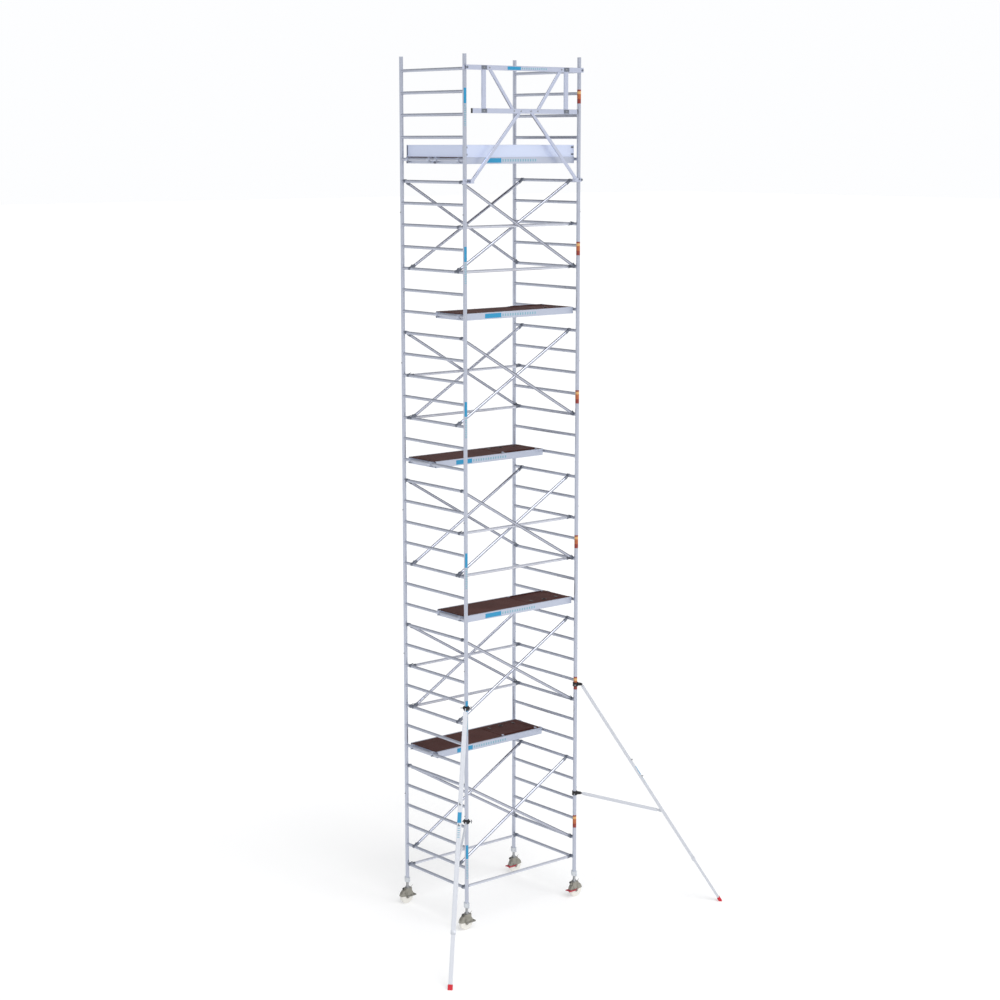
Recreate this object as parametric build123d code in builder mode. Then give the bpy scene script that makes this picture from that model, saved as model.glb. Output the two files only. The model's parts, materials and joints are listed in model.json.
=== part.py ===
"""A mobile tower scaffold: ladder frames, braces, platforms, one guardrail frame, castors and two stabilisers.

Millimetres. +X runs along the bay, +Y from the near side to the far side, +Z up. The ground is Z 0.
"left" is the end frame at low X, "near" is the side with the stabilisers.
"""

import os
from math import atan2, cos, hypot, radians, sin

from build123d import *

os.makedirs("parts", exist_ok=True)

# ---- Driving dimensions ---------------------------------------------------------------------------------
bay_length = 1915.0  # rung centre of one end frame to rung centre of the other
frame_width = 1290.0  # stile centre to stile centre
rung_pitch = 280.0
rungs_tall = 7  # in a standard ladder frame
rungs_base = 4  # in the short base frame
tall_frames = 5  # standard frames above the base frame
first_rung_z = 565.0  # ground to the centre of the lowest rung
stile_r = 25.4
stile_wall = 2.0
rung_r = 20.0
rung_wall = 2.0
stile_top = 180.0  # a stile's end above its frame's top rung
spigot_reach = 100.0  # how far a spigot stands in each of the two stiles that it joins
spigot_wall = 2.5
fit_gap = 0.3  # all round, between pieces that slip over or into each other
stile_foot = 200.0  # the lowest stile end below the lowest rung

brace_r = 19.0
brace_wall = 1.8
claw_r = 26.0  # outside radius of a hook's claw
claw_width = 36.0
neck_length = 26.0  # the hook's neck, from the claw to the brace tube
lane = 50.0  # spacing of neighbouring braces along a rung
first_lane = 66.0  # first brace to the stile's centre

platform_width = 588.0
platform_margin = 52.0  # stile centre to the platform's outer side
beam_width = 25.0
beam_height = 86.0
beam_wall = 2.5
end_beam_width = 40.0
platform_end = 36.0  # rung centre to the end beam
platform_claw_r = 27.0
deck_top = 34.0  # above the rung centre
deck_thick = 10.0
platform_claw_width = 46.0
hatch_length = 620.0
hatch_surround = 138.0  # the platform's width beside the hatch: the side beams and the deck's rims
hatch_width = platform_width - hatch_surround
hatch_end_gap = 60.0  # deck left between the hatch and the end beam
hatch_rim = 30.0  # deck left between the hatch's hinge edge and the side beam
hatch_gap = 3.0
hatch_bevel = 4.0
knuckle_r = 6.0
knuckle_length = 30.0
knuckle_foot = 22.0  # how far a fixed knuckle's foot reaches over the rim
hinge_lift = 0.5  # knuckle to the leaf's top face
hinge_pin_r = 3.0
hinge_pin_reach = 18.0  # the pin's length inside the leaf's barrel
bearer_width = 30.0
bearer_height = 50.0

toe_height = 150.0
toe_thick = 25.0
toe_wall = 2.0
toe_setback = 2.0  # platform's outer side to the toe board's outer side
angle_thick = 3.0
angle_leg = 60.0

rail_height = 60.0  # the guardrail frame's box tubes
rail_depth = 26.0
rail_y = -46.0  # its plane, from the near stiles' centre
strut_wide = 40.0
strut_deep = 22.0
guard_post_inset = 270.0  # stile centre to the guardrail's upright
knee_drop = 530.0  # top rail centre to knee rail centre
knee_end_inset = 82.0
strut_foot_x = 760.0  # where the upper struts meet the knee rail
low_strut_x = 875.0  # where the lower struts' axes cross the knee rail's axis
strut_top_x = 357.0
strut_low_x = 77.0
rail_rise = 15.0  # the rail's centre over the rung beside it
strut_wall = 2.0
post_width = 60.0
socket_length = 56.0
cup_height = 52.0
cup_wall = 7.0

wheel_r = 100.0
wheel_width = 48.0
hub_r = 22.0
axle_r = 7.0
axle_gap = 0.05  # running fit of the wheel and the pedal on the axle
castor_trail = 18.0  # swivel axis to axle
side_gap = 0.5  # hub to fork plate, and fork plate to pedal arm
fork_plate = 5.0
fork_half = 29.0  # wheel's middle plane to the inside of a fork plate
fork_top = 226.0
fork_length = 104.0  # the fork's top plate along the wheel
head_r = 34.0
head_height = 10.0
top_plate = 6.0
fork_shoulder = 40.0  # the side plates' straight part under the top plate
axle_head = 6.0
kingpin_r = 8.0
kingpin_nut_r = 13.0
kingpin_nut_height = 6.0
flange_r = 30.0
flange_height = 8.0
stem_r = 19.0
stem_wall = 4.0
stem_inside = 230.0  # the stem's length inside the stile
nut_r = 36.0
nut_height = 62.0
nut_lug = 18.0  # how far a lug stands out from the nut
nut_lug_width = 16.0
pedal_arm = 4.0
pedal_eye_r = 17.0
pedal_reach = 140.0  # axle to the pad's outer edge
pedal_pad = 34.0
pedal_thick = 9.0

stab_reach = 2020.0  # stile centre to where the leg's axis meets the ground, in plan
stab_turn = 45.0  # in plan, off the bay's long axis
stab_top_z = 3030.0
stab_arm_z = 1490.0
pivot_out = 80.0  # stile centre to a coupler's pivot
leg_wide = 58.0
leg_deep = 34.0
leg_wall = 3.0
slide_gap = 0.6  # all round, between the leg's outer and inner tube
leg_start = 34.0  # pivot to the outer tube's end
leg_split = 0.81  # share of the leg where the outer tube ends
arm_share = 0.575  # share of the leg where the arm joins
inner_overlap = 620.0  # inner tube left inside the outer one
arm_deep = 40.0
arm_wide = 25.0
arm_wall = 2.0
eye_r = 17.0
eye_thick = 10.0
bolt_r = 6.0
ear_thick = 7.0
coupler_height = 54.0
coupler_wall = 10.0
foot_length = 60.0
foot_wall = 5.0

# ---- What follows from them -----------------------------------------------------------------------------
rung_count = rungs_base + tall_frames * rungs_tall
frame_pitch = rungs_tall * rung_pitch
leg_run = stab_reach - pivot_out
leg_length = hypot(leg_run, stab_top_z)
leg_lean = atan2(leg_run, stab_top_z)  # off the vertical
inner_wide = leg_wide - 2 * (leg_wall + slide_gap)
inner_deep = leg_deep - 2 * (leg_wall + slide_gap)
foot_wide = inner_wide + 2 * foot_wall
foot_deep = inner_deep + 2 * foot_wall
# in Y the tower spans from the corner of a stabiliser's foot to a nut's lug at the back
foot_corner = stab_reach + foot_deep / 2 / cos(leg_lean)
front_reach = foot_corner * sin(radians(stab_turn)) + foot_wide / 2 * cos(radians(stab_turn))
back_reach = nut_r + nut_lug
near_y = (front_reach - back_reach - frame_width) / 2
far_y = near_y + frame_width
left_x = -bay_length / 2
right_x = bay_length / 2
stile_foot_z = first_rung_z - stile_foot
# corner name: stile x, stile y, direction into the bay
corners = {
    "front_left": (left_x, near_y, 1),
    "front_right": (right_x, near_y, -1),
    "back_left": (left_x, far_y, 1),
    "back_right": (right_x, far_y, -1),
}


def rung_z(number):
    """Centre height of a rung, counted from 0 at the bottom."""
    return first_rung_z + number * rung_pitch


def save(shape, name):
    """Labels a finished piece and writes its STEP file."""
    shape.label = name
    export_step(shape, f"parts/{name}.step")


def save_group(pieces, name):
    """Writes several separate solids as one node."""
    save(Compound(children=[solid for piece in pieces for solid in piece.solids()]), name)


def run_plane(start, end):
    """A sketch plane at start that faces end, with its X level."""
    along = (Vector(*end) - Vector(*start)).normalized()
    level = Vector(0, 0, 1).cross(along)
    if level.length < 1e-6:
        level = Vector(1, 0, 0)
    return Plane(origin=start, x_dir=level, z_dir=along)


def round_tube(start, end, radius, wall=0.0):
    """A round tube, or a bar when wall is 0, between two points."""
    length = (Vector(*end) - Vector(*start)).length
    with BuildPart() as tube:
        with BuildSketch(run_plane(start, end)):
            Circle(radius)
            if wall:
                Circle(radius - wall, mode=Mode.SUBTRACT)
        extrude(amount=length)
    return tube.part


def box_tube(start, end, level_side, other_side, wall=0.0, corner=3.0):
    """A rounded rectangular tube between two points; level_side is measured horizontally."""
    length = (Vector(*end) - Vector(*start)).length
    with BuildPart() as tube:
        with BuildSketch(run_plane(start, end)):
            RectangleRounded(level_side, other_side, corner)
            if wall:
                Rectangle(level_side - 2 * wall, other_side - 2 * wall, mode=Mode.SUBTRACT)
        extrude(amount=length)
    return tube.part


def plain_box(low, high):
    """A box between two corners."""
    size = [b - a for a, b in zip(low, high)]
    with BuildPart() as block:
        with Locations([(low[0], low[1], low[2])]):
            Box(*size, align=(Align.MIN, Align.MIN, Align.MIN))
    return block.part


def less(piece, *cutters):
    """The piece with the cutters' space taken out of it."""
    with BuildPart() as left_over:
        add(piece)
        for cutter in cutters:
            add(cutter, mode=Mode.SUBTRACT)
    return left_over.part


# ---- Ladder frames --------------------------------------------------------------------------------------
def ladder_frame(x, base_z, first_rung, rungs, is_base):
    """Two stiles, their rungs coped to them, and a spigot in the foot of each stile."""
    top_z = rung_z(first_rung + rungs - 1) + stile_top
    pieces = []
    for y in (near_y, far_y):
        pieces.append(round_tube((x, y, base_z), (x, y, top_z), stile_r, stile_wall))
        if not is_base:
            spigot_r = stile_r - stile_wall
            low, high = (x, y, base_z - spigot_reach), (x, y, base_z + spigot_reach)
            with BuildPart() as spigot:
                add(round_tube(low, (x, y, base_z), spigot_r - fit_gap, spigot_wall))
                add(round_tube((x, y, base_z), high, spigot_r, spigot_wall + fit_gap))
            pieces.append(spigot.part)
    coping = [round_tube((x, y, base_z), (x, y, top_z), stile_r) for y in (near_y, far_y)]
    for number in range(first_rung, first_rung + rungs):
        z = rung_z(number)
        pieces.append(less(round_tube((x, near_y, z), (x, far_y, z), rung_r, rung_wall), *coping))
    return pieces


frame_joints = []
for side, x in (("left", left_x), ("right", right_x)):
    base_z = stile_foot_z
    first_rung = 0
    for level in range(1 + tall_frames):
        rungs = rungs_tall if level else rungs_base
        save_group(ladder_frame(x, base_z, first_rung, rungs, level == 0), f"ladder_frame_{side}_{level + 1}")
        first_rung += rungs
        base_z = rung_z(first_rung - 1) + stile_top
        if level < tall_frames:
            frame_joints.append((x, base_z))


# ---- Clips that lock each frame joint ---------------------------------------------------------------------
clip_r = 7.0
clip_stand = 9.0
clip_drop = 20.0  # below the joint of two frames


def joint_clip(x, y, z):
    """The head of the spring clip that locks a spigot, on the stile's outer side."""
    outward = 1 if x > 0 else -1
    head = round_tube((x, y, z), (x + outward * (stile_r + clip_stand), y, z), clip_r)
    stile = round_tube((x, y, z - stile_r), (x, y, z + stile_r), stile_r)
    return less(head, stile)


clips = [joint_clip(x, y, z - clip_drop) for x, z in frame_joints for y in (near_y, far_y)]
save_group(clips, "frame_clips")


# ---- Braces and their snap hooks --------------------------------------------------------------------------
def claw(centre, towards, width):
    """A C-shaped claw that drops over a rung, and its neck towards a point in the same XZ plane."""
    x, y, z = centre
    away = (Vector(*towards) - Vector(*centre)).normalized()
    neck_end = Vector(*centre) + away * (claw_r + neck_length)
    with BuildPart() as hook:
        with BuildSketch(Plane(origin=(x, y + width / 2, z), x_dir=(1, 0, 0), z_dir=(0, -1, 0))):
            Circle(claw_r)
        extrude(amount=width)
        with BuildSketch(run_plane(centre, tuple(neck_end))):
            Circle(min(brace_r, width / 2))
        extrude(amount=claw_r + neck_length)
        # the rung's space, open downwards so that the claw lifts off
        bore_r = rung_r + fit_gap
        with BuildSketch(Plane(origin=(x, y + width, z), x_dir=(1, 0, 0), z_dir=(0, -1, 0))):
            Circle(bore_r)
            with Locations((0, -claw_r)):
                Rectangle(2 * bore_r, 2 * claw_r)
        extrude(amount=2 * width, mode=Mode.SUBTRACT)
    return max(hook.part.solids(), key=lambda solid: solid.volume)


def brace(start, end):
    """A tube between two rungs, stopping at its hooks' necks, and the two hooks."""
    along = (Vector(*end) - Vector(*start)).normalized()
    offset = along * (claw_r + neck_length)
    tube = round_tube(tuple(Vector(*start) + offset), tuple(Vector(*end) - offset), brace_r, brace_wall)
    return tube, [claw(start, end, claw_width), claw(end, start, claw_width)]


platform_rungs = [rungs_tall * level - 1 for level in range(1, tall_frames + 1)]  # rung under each platform
diagonals = []
rails = []
hooks = []


def add_brace(tubes, start, end):
    """Adds one brace and its hooks to the lists."""
    tube, pair = brace(start, end)
    tubes.append(tube)
    hooks.extend(pair)


for lift, deck_rung in enumerate(platform_rungs):
    top, bottom = deck_rung - 1, deck_rung - 5  # the cross braces of the lift under this platform
    for stile_y, inward in ((near_y, 1), (far_y, -1)):
        falling_y = stile_y + inward * first_lane
        rail_lane_y = falling_y + inward * lane
        rising_y = rail_lane_y + inward * lane
        add_brace(diagonals, (left_x, falling_y, rung_z(top)), (right_x, falling_y, rung_z(bottom)))
        add_brace(diagonals, (left_x, rising_y, rung_z(bottom)), (right_x, rising_y, rung_z(top)))
        platform_is_near = lift % 2 == 0  # of the platform below this lift: far, near, far, near from the bottom
        if lift and platform_is_near == (inward == 1):
            for number in (bottom, bottom + 2):
                add_brace(rails, (left_x, rail_lane_y, rung_z(number)), (right_x, rail_lane_y, rung_z(number)))
for y in (near_y + first_lane, far_y - first_lane):
    add_brace(rails, (left_x, y, rung_z(0)), (right_x, y, rung_z(0)))
save_group(diagonals, "diagonal_braces")
save_group(rails, "horizontal_braces")
save_group(hooks, "brace_hooks")


# ---- Platforms --------------------------------------------------------------------------------------------
def platform_frame(low_y, z):
    """Two side beams, two end beams and four claws, all carried by the rungs at height z."""
    top = z + deck_top
    high_y = low_y + platform_width
    pieces = []
    for y in (low_y + beam_width / 2, high_y - beam_width / 2):
        centre_z = top - beam_height / 2
        start, end = (left_x + platform_end, y, centre_z), (right_x - platform_end, y, centre_z)
        pieces.append(box_tube(start, end, beam_width, beam_height, beam_wall))
    inner = (low_y + beam_width, high_y - beam_width)
    cross_height = beam_height - deck_thick
    cross_z = top - deck_thick - cross_height / 2
    for x, inward in ((left_x, 1), (right_x, -1)):
        mid_x = x + inward * (platform_end + end_beam_width / 2)
        pieces.append(box_tube((mid_x, inner[0], cross_z), (mid_x, inner[1], cross_z), end_beam_width, cross_height,
                               beam_wall, 1.0))
        for y in (inner[0] + platform_claw_width, inner[1] - platform_claw_width):
            pieces.append(platform_claw(x, y, z, inward))
    return pieces


def platform_claw(x, y, z, inward):
    """A cast claw over the rung, with a flat back against the end beam."""
    slot = 2 * (rung_r + fit_gap)
    with BuildPart() as cast:
        with BuildSketch(Plane(origin=(x, y + platform_claw_width / 2, z), x_dir=(1, 0, 0), z_dir=(0, -1, 0))):
            Circle(platform_claw_r)
            with Locations((inward * platform_end / 2, 0)):
                Rectangle(platform_end, 2 * platform_claw_r)
            Circle(slot / 2, mode=Mode.SUBTRACT)
            with Locations((0, -platform_claw_r)):
                Rectangle(slot, 2 * platform_claw_r, mode=Mode.SUBTRACT)
        extrude(amount=platform_claw_width)
    return cast.part


def deck_limits(low_y):
    """The deck's low and high corners in plan."""
    return (left_x + platform_end, low_y + beam_width), (right_x - platform_end, low_y + platform_width - beam_width)


def hatch_limits(low_y, hinge_on_low_side):
    """The trapdoor's low and high corners in plan, and its hinge edge."""
    low, high = deck_limits(low_y)
    high_x = high[0] - hatch_end_gap
    low_x = high_x - hatch_length
    if hinge_on_low_side:
        edge = low[1] + hatch_rim
        return (low_x, edge), (high_x, edge + hatch_width), edge
    edge = high[1] - hatch_rim
    return (low_x, edge - hatch_width), (high_x, edge), edge


def deck_boards(low_y, z, hatch):
    """The plywood deck: one board, or four round the hatch."""
    low, high = deck_limits(low_y)
    top = z + deck_top
    if hatch is None:
        spans = [(low, high)]
    else:
        low_cut, high_cut, _ = hatch
        spans = [
            (low, (low_cut[0], high[1])),
            ((high_cut[0], low[1]), high),
            ((low_cut[0], low[1]), (high_cut[0], low_cut[1])),
            ((low_cut[0], high_cut[1]), (high_cut[0], high[1])),
        ]
    return [plain_box((*a, top - deck_thick), (*b, top)) for a, b in spans]


def bearers(low_y, z, hatch):
    """Cross members under the deck: at the hatch's two ends, and halfway along the rest."""
    low, high = deck_limits(low_y)
    if hatch is None:
        length = high[0] - low[0]
        places = [low[0] + length * share for share in (0.25, 0.5, 0.75)]
    else:
        low_cut, high_cut, _ = hatch
        places = [(low[0] + low_cut[0]) / 2, low_cut[0], high_cut[0]]
    bearer_z = z + deck_top - deck_thick - bearer_height / 2
    return [
        box_tube((x, low[1], bearer_z), (x, high[1], bearer_z), bearer_width, bearer_height, beam_wall, 1.0)
        for x in places
    ]


def hinge_line(z, hatch):
    """Y and Z of the trapdoor's hinge, and the way the leaf lies from it."""
    low_cut, _, edge = hatch
    inward = 1 if edge == low_cut[1] else -1
    return edge + inward * (hatch_gap + knuckle_r), z + deck_top + knuckle_r + hinge_lift, inward


def fixed_knuckles(z, hatch):
    """Two knuckles screwed to the deck's rim, and the pins that carry the leaf's barrel."""
    low_cut, high_cut, edge = hatch
    axis_y, axis_z, inward = hinge_line(z, hatch)
    top = z + deck_top
    pieces = []
    for x, to_x in ((low_cut[0] + hatch_gap, 1), (high_cut[0] - hatch_gap, -1)):
        ends = sorted((x, x + to_x * knuckle_length))
        foot_y = sorted((edge - inward * knuckle_foot, axis_y))
        with BuildPart() as knuckle:
            add(round_tube((ends[0], axis_y, axis_z), (ends[1], axis_y, axis_z), knuckle_r))
            add(plain_box((ends[0], foot_y[0], axis_z - knuckle_r + 0.1), (ends[1], foot_y[1], axis_z - 1)))
            rim_y = sorted((edge - inward * knuckle_foot, edge))
            add(plain_box((ends[0], rim_y[0], top), (ends[1], rim_y[1], top + hinge_lift + 1)))
            add(round_tube((ends[0] - 1, axis_y, axis_z), (ends[1] + 1, axis_y, axis_z), hinge_pin_r),
                mode=Mode.SUBTRACT)
        pin_end = x + to_x * (knuckle_length + hinge_pin_reach)
        pieces += [knuckle.part, round_tube((x, axis_y, axis_z), (pin_end, axis_y, axis_z), hinge_pin_r)]
    return pieces


def trapdoor(z, hatch):
    """The hatch leaf, with a hinge barrel between the two fixed knuckles."""
    low_cut, high_cut, _ = hatch
    axis_y, axis_z, inward = hinge_line(z, hatch)
    top = z + deck_top
    low = (low_cut[0] + hatch_gap, low_cut[1] + hatch_gap, top - deck_thick + fit_gap)
    high = (high_cut[0] - hatch_gap, high_cut[1] - hatch_gap, top)
    barrel_x = low[0] + knuckle_length + 0.5, high[0] - knuckle_length - 0.5
    # the lower edge beside the hinge is bevelled, so that it swings clear of the bearers
    edge_y, free_y = (low[1], high[1]) if inward > 0 else (high[1], low[1])
    with BuildPart() as leaf:
        with BuildSketch(Plane(origin=(low[0], 0, 0), x_dir=(0, 1, 0), z_dir=(1, 0, 0))):
            with BuildLine():
                Polyline((edge_y, high[2]), (edge_y, low[2] + hatch_bevel), (edge_y + inward * hatch_bevel, low[2]),
                         (free_y, low[2]), (free_y, high[2]), close=True)
            make_face()
        extrude(amount=high[0] - low[0])
        add(round_tube((barrel_x[0], axis_y, axis_z), (barrel_x[1], axis_y, axis_z), knuckle_r))
        add(plain_box((barrel_x[0], axis_y - knuckle_r / 2, top - 1), (barrel_x[1], axis_y + knuckle_r / 2, axis_z)))
        add(round_tube((barrel_x[0] - 1, axis_y, axis_z), (barrel_x[1] + 1, axis_y, axis_z), hinge_pin_r + axle_gap),
            mode=Mode.SUBTRACT)
    return leaf.part


near_low = near_y + platform_margin
far_low = far_y - platform_margin - platform_width
decks = []
platforms = []  # name, low side, rung number, and whether the hatch's hinge is on the low side (None: no hatch)
for level, number in enumerate(platform_rungs):
    on_far_side = level % 2 == 0
    platforms.append((f"{level + 1}", far_low if on_far_side else near_low, number, on_far_side))
platforms.append((f"{tall_frames}_near", near_low, platform_rungs[-1], None))
for name, low_y, number, hinge_low in platforms:
    z = rung_z(number)
    hatch = None if hinge_low is None else hatch_limits(low_y, hinge_low)
    hinges = fixed_knuckles(z, hatch) if hatch else []
    save_group([*platform_frame(low_y, z), *bearers(low_y, z, hatch), *hinges], f"platform_frame_{name}")
    decks.extend(deck_boards(low_y, z, hatch))
    if hatch:
        save(trapdoor(z, hatch), f"trapdoor_{name}")
save_group(decks, "platform_decks")

# ---- Toe boards, standing on the top platforms --------------------------------------------------------------
top_deck_z = rung_z(platform_rungs[-1]) + deck_top
board_x = platform_end + toe_setback
outer_low = (left_x + board_x, near_low + toe_setback)
outer_high = (right_x - board_x, far_low + platform_width - toe_setback)
toe_mid_z = top_deck_z + toe_height / 2
inner_low = (outer_low[0] + toe_thick, outer_low[1] + toe_thick)
inner_high = (outer_high[0] - toe_thick, outer_high[1] - toe_thick)
side_boards = [
    box_tube((outer_low[0], y, toe_mid_z), (outer_high[0], y, toe_mid_z), toe_thick, toe_height, toe_wall, 1.0)
    for y in (outer_low[1] + toe_thick / 2, outer_high[1] - toe_thick / 2)
]
end_boards = [
    box_tube((x, inner_low[1], toe_mid_z), (x, inner_high[1], toe_mid_z), toe_thick, toe_height, toe_wall, 1.0)
    for x in (outer_low[0] + toe_thick / 2, outer_high[0] - toe_thick / 2)
]
angles = []
for x, to_x in ((inner_low[0], 1), (inner_high[0], -1)):
    for y, to_y in ((inner_low[1], 1), (inner_high[1], -1)):
        with BuildPart() as angle:
            with BuildSketch(Plane.XY.offset(top_deck_z + angle_leg / 2)):
                with BuildLine():
                    Polyline(
                        (x, y),
                        (x + to_x * angle_leg, y),
                        (x + to_x * angle_leg, y + to_y * angle_thick),
                        (x + to_x * angle_thick, y + to_y * angle_thick),
                        (x + to_x * angle_thick, y + to_y * angle_leg),
                        (x, y + to_y * angle_leg),
                        close=True,
                    )
                make_face()
            extrude(amount=angle_leg)
        angles.append(angle.part)
save_group([*side_boards, *end_boards, *angles], "toe_boards")


# ---- Guardrail frame on the near side -----------------------------------------------------------------------
rail_line = near_y + rail_y
top_rail_z = rung_z(rung_count - 1) + rail_rise
knee_z = top_rail_z - knee_drop
strut_foot_z = rung_z(platform_rungs[-1] - 1) + rail_rise
half_rail = rail_height / 2


def stile_cup(x, z, pad_to):
    """A half cup against a near stile, with a pad on its outer side out to pad_to in X."""
    low_x, high_x = min(x - stile_r, pad_to), max(x + stile_r, pad_to)
    pad_y = rail_line + rail_depth / 2
    cup_r = stile_r + fit_gap + cup_wall
    with BuildPart() as cup:
        with BuildSketch(Plane.XY.offset(z - cup_height / 2)):
            with Locations((x, near_y)):
                Circle(cup_r)
            with Locations(((low_x + high_x) / 2, (pad_y + near_y) / 2)):
                Rectangle(high_x - low_x, near_y - pad_y)
            with Locations((x, pad_y - cup_r)):
                Rectangle(4 * cup_r, 2 * cup_r, mode=Mode.SUBTRACT)
            with Locations((x, near_y + cup_r)):
                Rectangle(8 * cup_r, 2 * cup_r, mode=Mode.SUBTRACT)
            with Locations((x, near_y)):
                Circle(stile_r + fit_gap, mode=Mode.SUBTRACT)
        extrude(amount=cup_height)
    return cup.part


guard = [
    box_tube((left_x - stile_r, rail_line, top_rail_z), (right_x + stile_r, rail_line, top_rail_z), rail_depth,
             rail_height, beam_wall),
    box_tube((left_x + knee_end_inset, rail_line, knee_z), (right_x - knee_end_inset, rail_line, knee_z), rail_depth,
             rail_height, beam_wall),
]
top_space = plain_box((left_x, rail_line - rail_height, top_rail_z - half_rail),
                      (right_x, rail_line + rail_height, top_rail_z + rail_height))
knee_space = plain_box((left_x, rail_line - rail_height, knee_z - half_rail),
                       (right_x, rail_line + rail_height, knee_z + half_rail))
for x, inward in ((left_x, 1), (right_x, -1)):
    post_x = x + inward * guard_post_inset
    guard.append(box_tube((post_x, rail_line, knee_z + half_rail), (post_x, rail_line, top_rail_z - half_rail),
                          post_width, rail_depth, beam_wall))
    knot = (x + inward * strut_foot_x, rail_line, knee_z)
    strut_end = (x + inward * strut_low_x, rail_line, strut_foot_z)
    upper = box_tube((x + inward * strut_top_x, rail_line, top_rail_z), knot, strut_deep, strut_wide, strut_wall)
    low_knot = (x + inward * low_strut_x, rail_line, knee_z)
    lower = box_tube(low_knot, strut_end, strut_deep, strut_wide, strut_wall)
    socket_x = x + inward * (strut_low_x - socket_length / 2), x + inward * (strut_low_x + socket_length / 2)
    socket = plain_box((min(socket_x), rail_line - strut_deep / 2 - 2, strut_foot_z - cup_height / 2),
                       (max(socket_x), rail_line + rail_depth / 2, strut_foot_z + cup_height / 2))
    guard.append(less(upper, top_space, knee_space))
    guard.append(less(lower, knee_space, socket))
    guard.append(stile_cup(x, top_rail_z, x + inward * stile_r))
    with BuildPart() as foot_clamp:
        add(stile_cup(x, strut_foot_z, x + inward * (strut_low_x + socket_length / 2)))
        add(socket)
    guard.append(foot_clamp.part)
save_group(guard, "guardrail_frame")


# ---- Adjustable legs and castors ----------------------------------------------------------------------------
def level_plane(x, y, z):
    """A level sketch plane with its origin at a point."""
    return Plane(origin=(x, y, z))


def adjustable_leg(x, y):
    """The threaded stem, its flange, and the kingpin that carries the castor."""
    flange_z = fork_top + fit_gap
    pin_z = fork_top - head_height - top_plate - fit_gap - kingpin_nut_height
    with BuildPart() as leg:
        with BuildSketch(level_plane(x, y, flange_z)):
            Circle(flange_r)
        extrude(amount=flange_height)
        with BuildSketch(level_plane(x, y, flange_z + flange_height)):
            Circle(stem_r)
            Circle(stem_r - stem_wall, mode=Mode.SUBTRACT)
        extrude(amount=stile_foot_z + stem_inside - flange_z - flange_height)
        with BuildSketch(level_plane(x, y, pin_z)):
            Circle(kingpin_r)
        extrude(amount=flange_z - pin_z)
        with BuildSketch(level_plane(x, y, pin_z)):
            RegularPolygon(kingpin_nut_r, 6)
        extrude(amount=kingpin_nut_height)
    return leg.part


def adjusting_nut(x, y):
    """The winged nut under the stile's end."""
    with BuildPart() as nut:
        with BuildSketch(level_plane(x, y, stile_foot_z - fit_gap - nut_height)):
            Circle(nut_r)
            Rectangle(nut_lug_width, 2 * (nut_r + nut_lug))
            Circle(stem_r + fit_gap, mode=Mode.SUBTRACT)
        extrude(amount=nut_height)
    return nut.part


def castor_fork(x, y, inward):
    """The swivel head with its top plate, two side plates, and the axle bolt with its heads."""
    axle_x = x - inward * castor_trail
    plate_z = fork_top - head_height - top_plate
    outside = fork_half + fork_plate
    with BuildPart() as head:
        with BuildSketch(level_plane(x, y, plate_z)):
            Rectangle(fork_length, 2 * outside)
            Circle(kingpin_r + axle_gap, mode=Mode.SUBTRACT)
        extrude(amount=top_plate)
        with BuildSketch(level_plane(x, y, plate_z)):
            Circle(head_r)
            Circle(kingpin_r + axle_gap, mode=Mode.SUBTRACT)
        extrude(amount=head_height + top_plate)
    pieces = [head.part]
    half, turn, low = fork_length / 2, axle_x - x, plate_z - fork_shoulder
    boss_r = hub_r + 6
    for face_y in (y + outside, y - fork_half):
        with BuildPart() as side_plate:
            with BuildSketch(Plane(origin=(x, face_y, 0), x_dir=(1, 0, 0), z_dir=(0, -1, 0))):
                with BuildLine():
                    Polyline((-half, plate_z), (half, plate_z), (half, low), (turn + boss_r, wheel_r),
                             (turn - boss_r, wheel_r), (-half, low), close=True)
                make_face()
                with Locations((turn, wheel_r)):
                    Circle(boss_r)
                    Circle(axle_r, mode=Mode.SUBTRACT)
            extrude(amount=fork_plate)
        pieces.append(side_plate.part)
    reach = outside + side_gap + pedal_arm + side_gap
    with BuildPart() as axle:
        add(round_tube((axle_x, y - reach, wheel_r), (axle_x, y + reach, wheel_r), axle_r))
        for side in (-1, 1):
            add(round_tube((axle_x, y + side * reach, wheel_r), (axle_x, y + side * (reach + axle_head), wheel_r),
                           1.7 * axle_r))
    return [*pieces, axle.part]


def castor_wheel(x, y, inward):
    """A wheel turned about its axle: hub, thinner web and rounded tread."""
    axle_x = x - inward * castor_trail
    hub_half = fork_half - side_gap
    half = wheel_width / 2
    bore = axle_r + axle_gap
    with BuildPart() as wheel:
        with BuildSketch(Plane(origin=(axle_x, y, wheel_r), x_dir=(0, 1, 0), z_dir=(1, 0, 0))):
            with BuildLine():
                Polyline(
                    (-hub_half, bore),
                    (hub_half, bore),
                    (hub_half, hub_r),
                    (half - 9, hub_r + 8),
                    (half - 9, wheel_r - 26),
                    (half, wheel_r - 18),
                    (half, wheel_r - 6),
                    (half - 8, wheel_r),
                    (8 - half, wheel_r),
                    (-half, wheel_r - 6),
                    (-half, wheel_r - 18),
                    (9 - half, wheel_r - 26),
                    (9 - half, hub_r + 8),
                    (-hub_half, hub_r),
                    close=True,
                )
            make_face()
        revolve(axis=Axis((axle_x, y, wheel_r), (0, 1, 0)))
    return wheel.part


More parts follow.
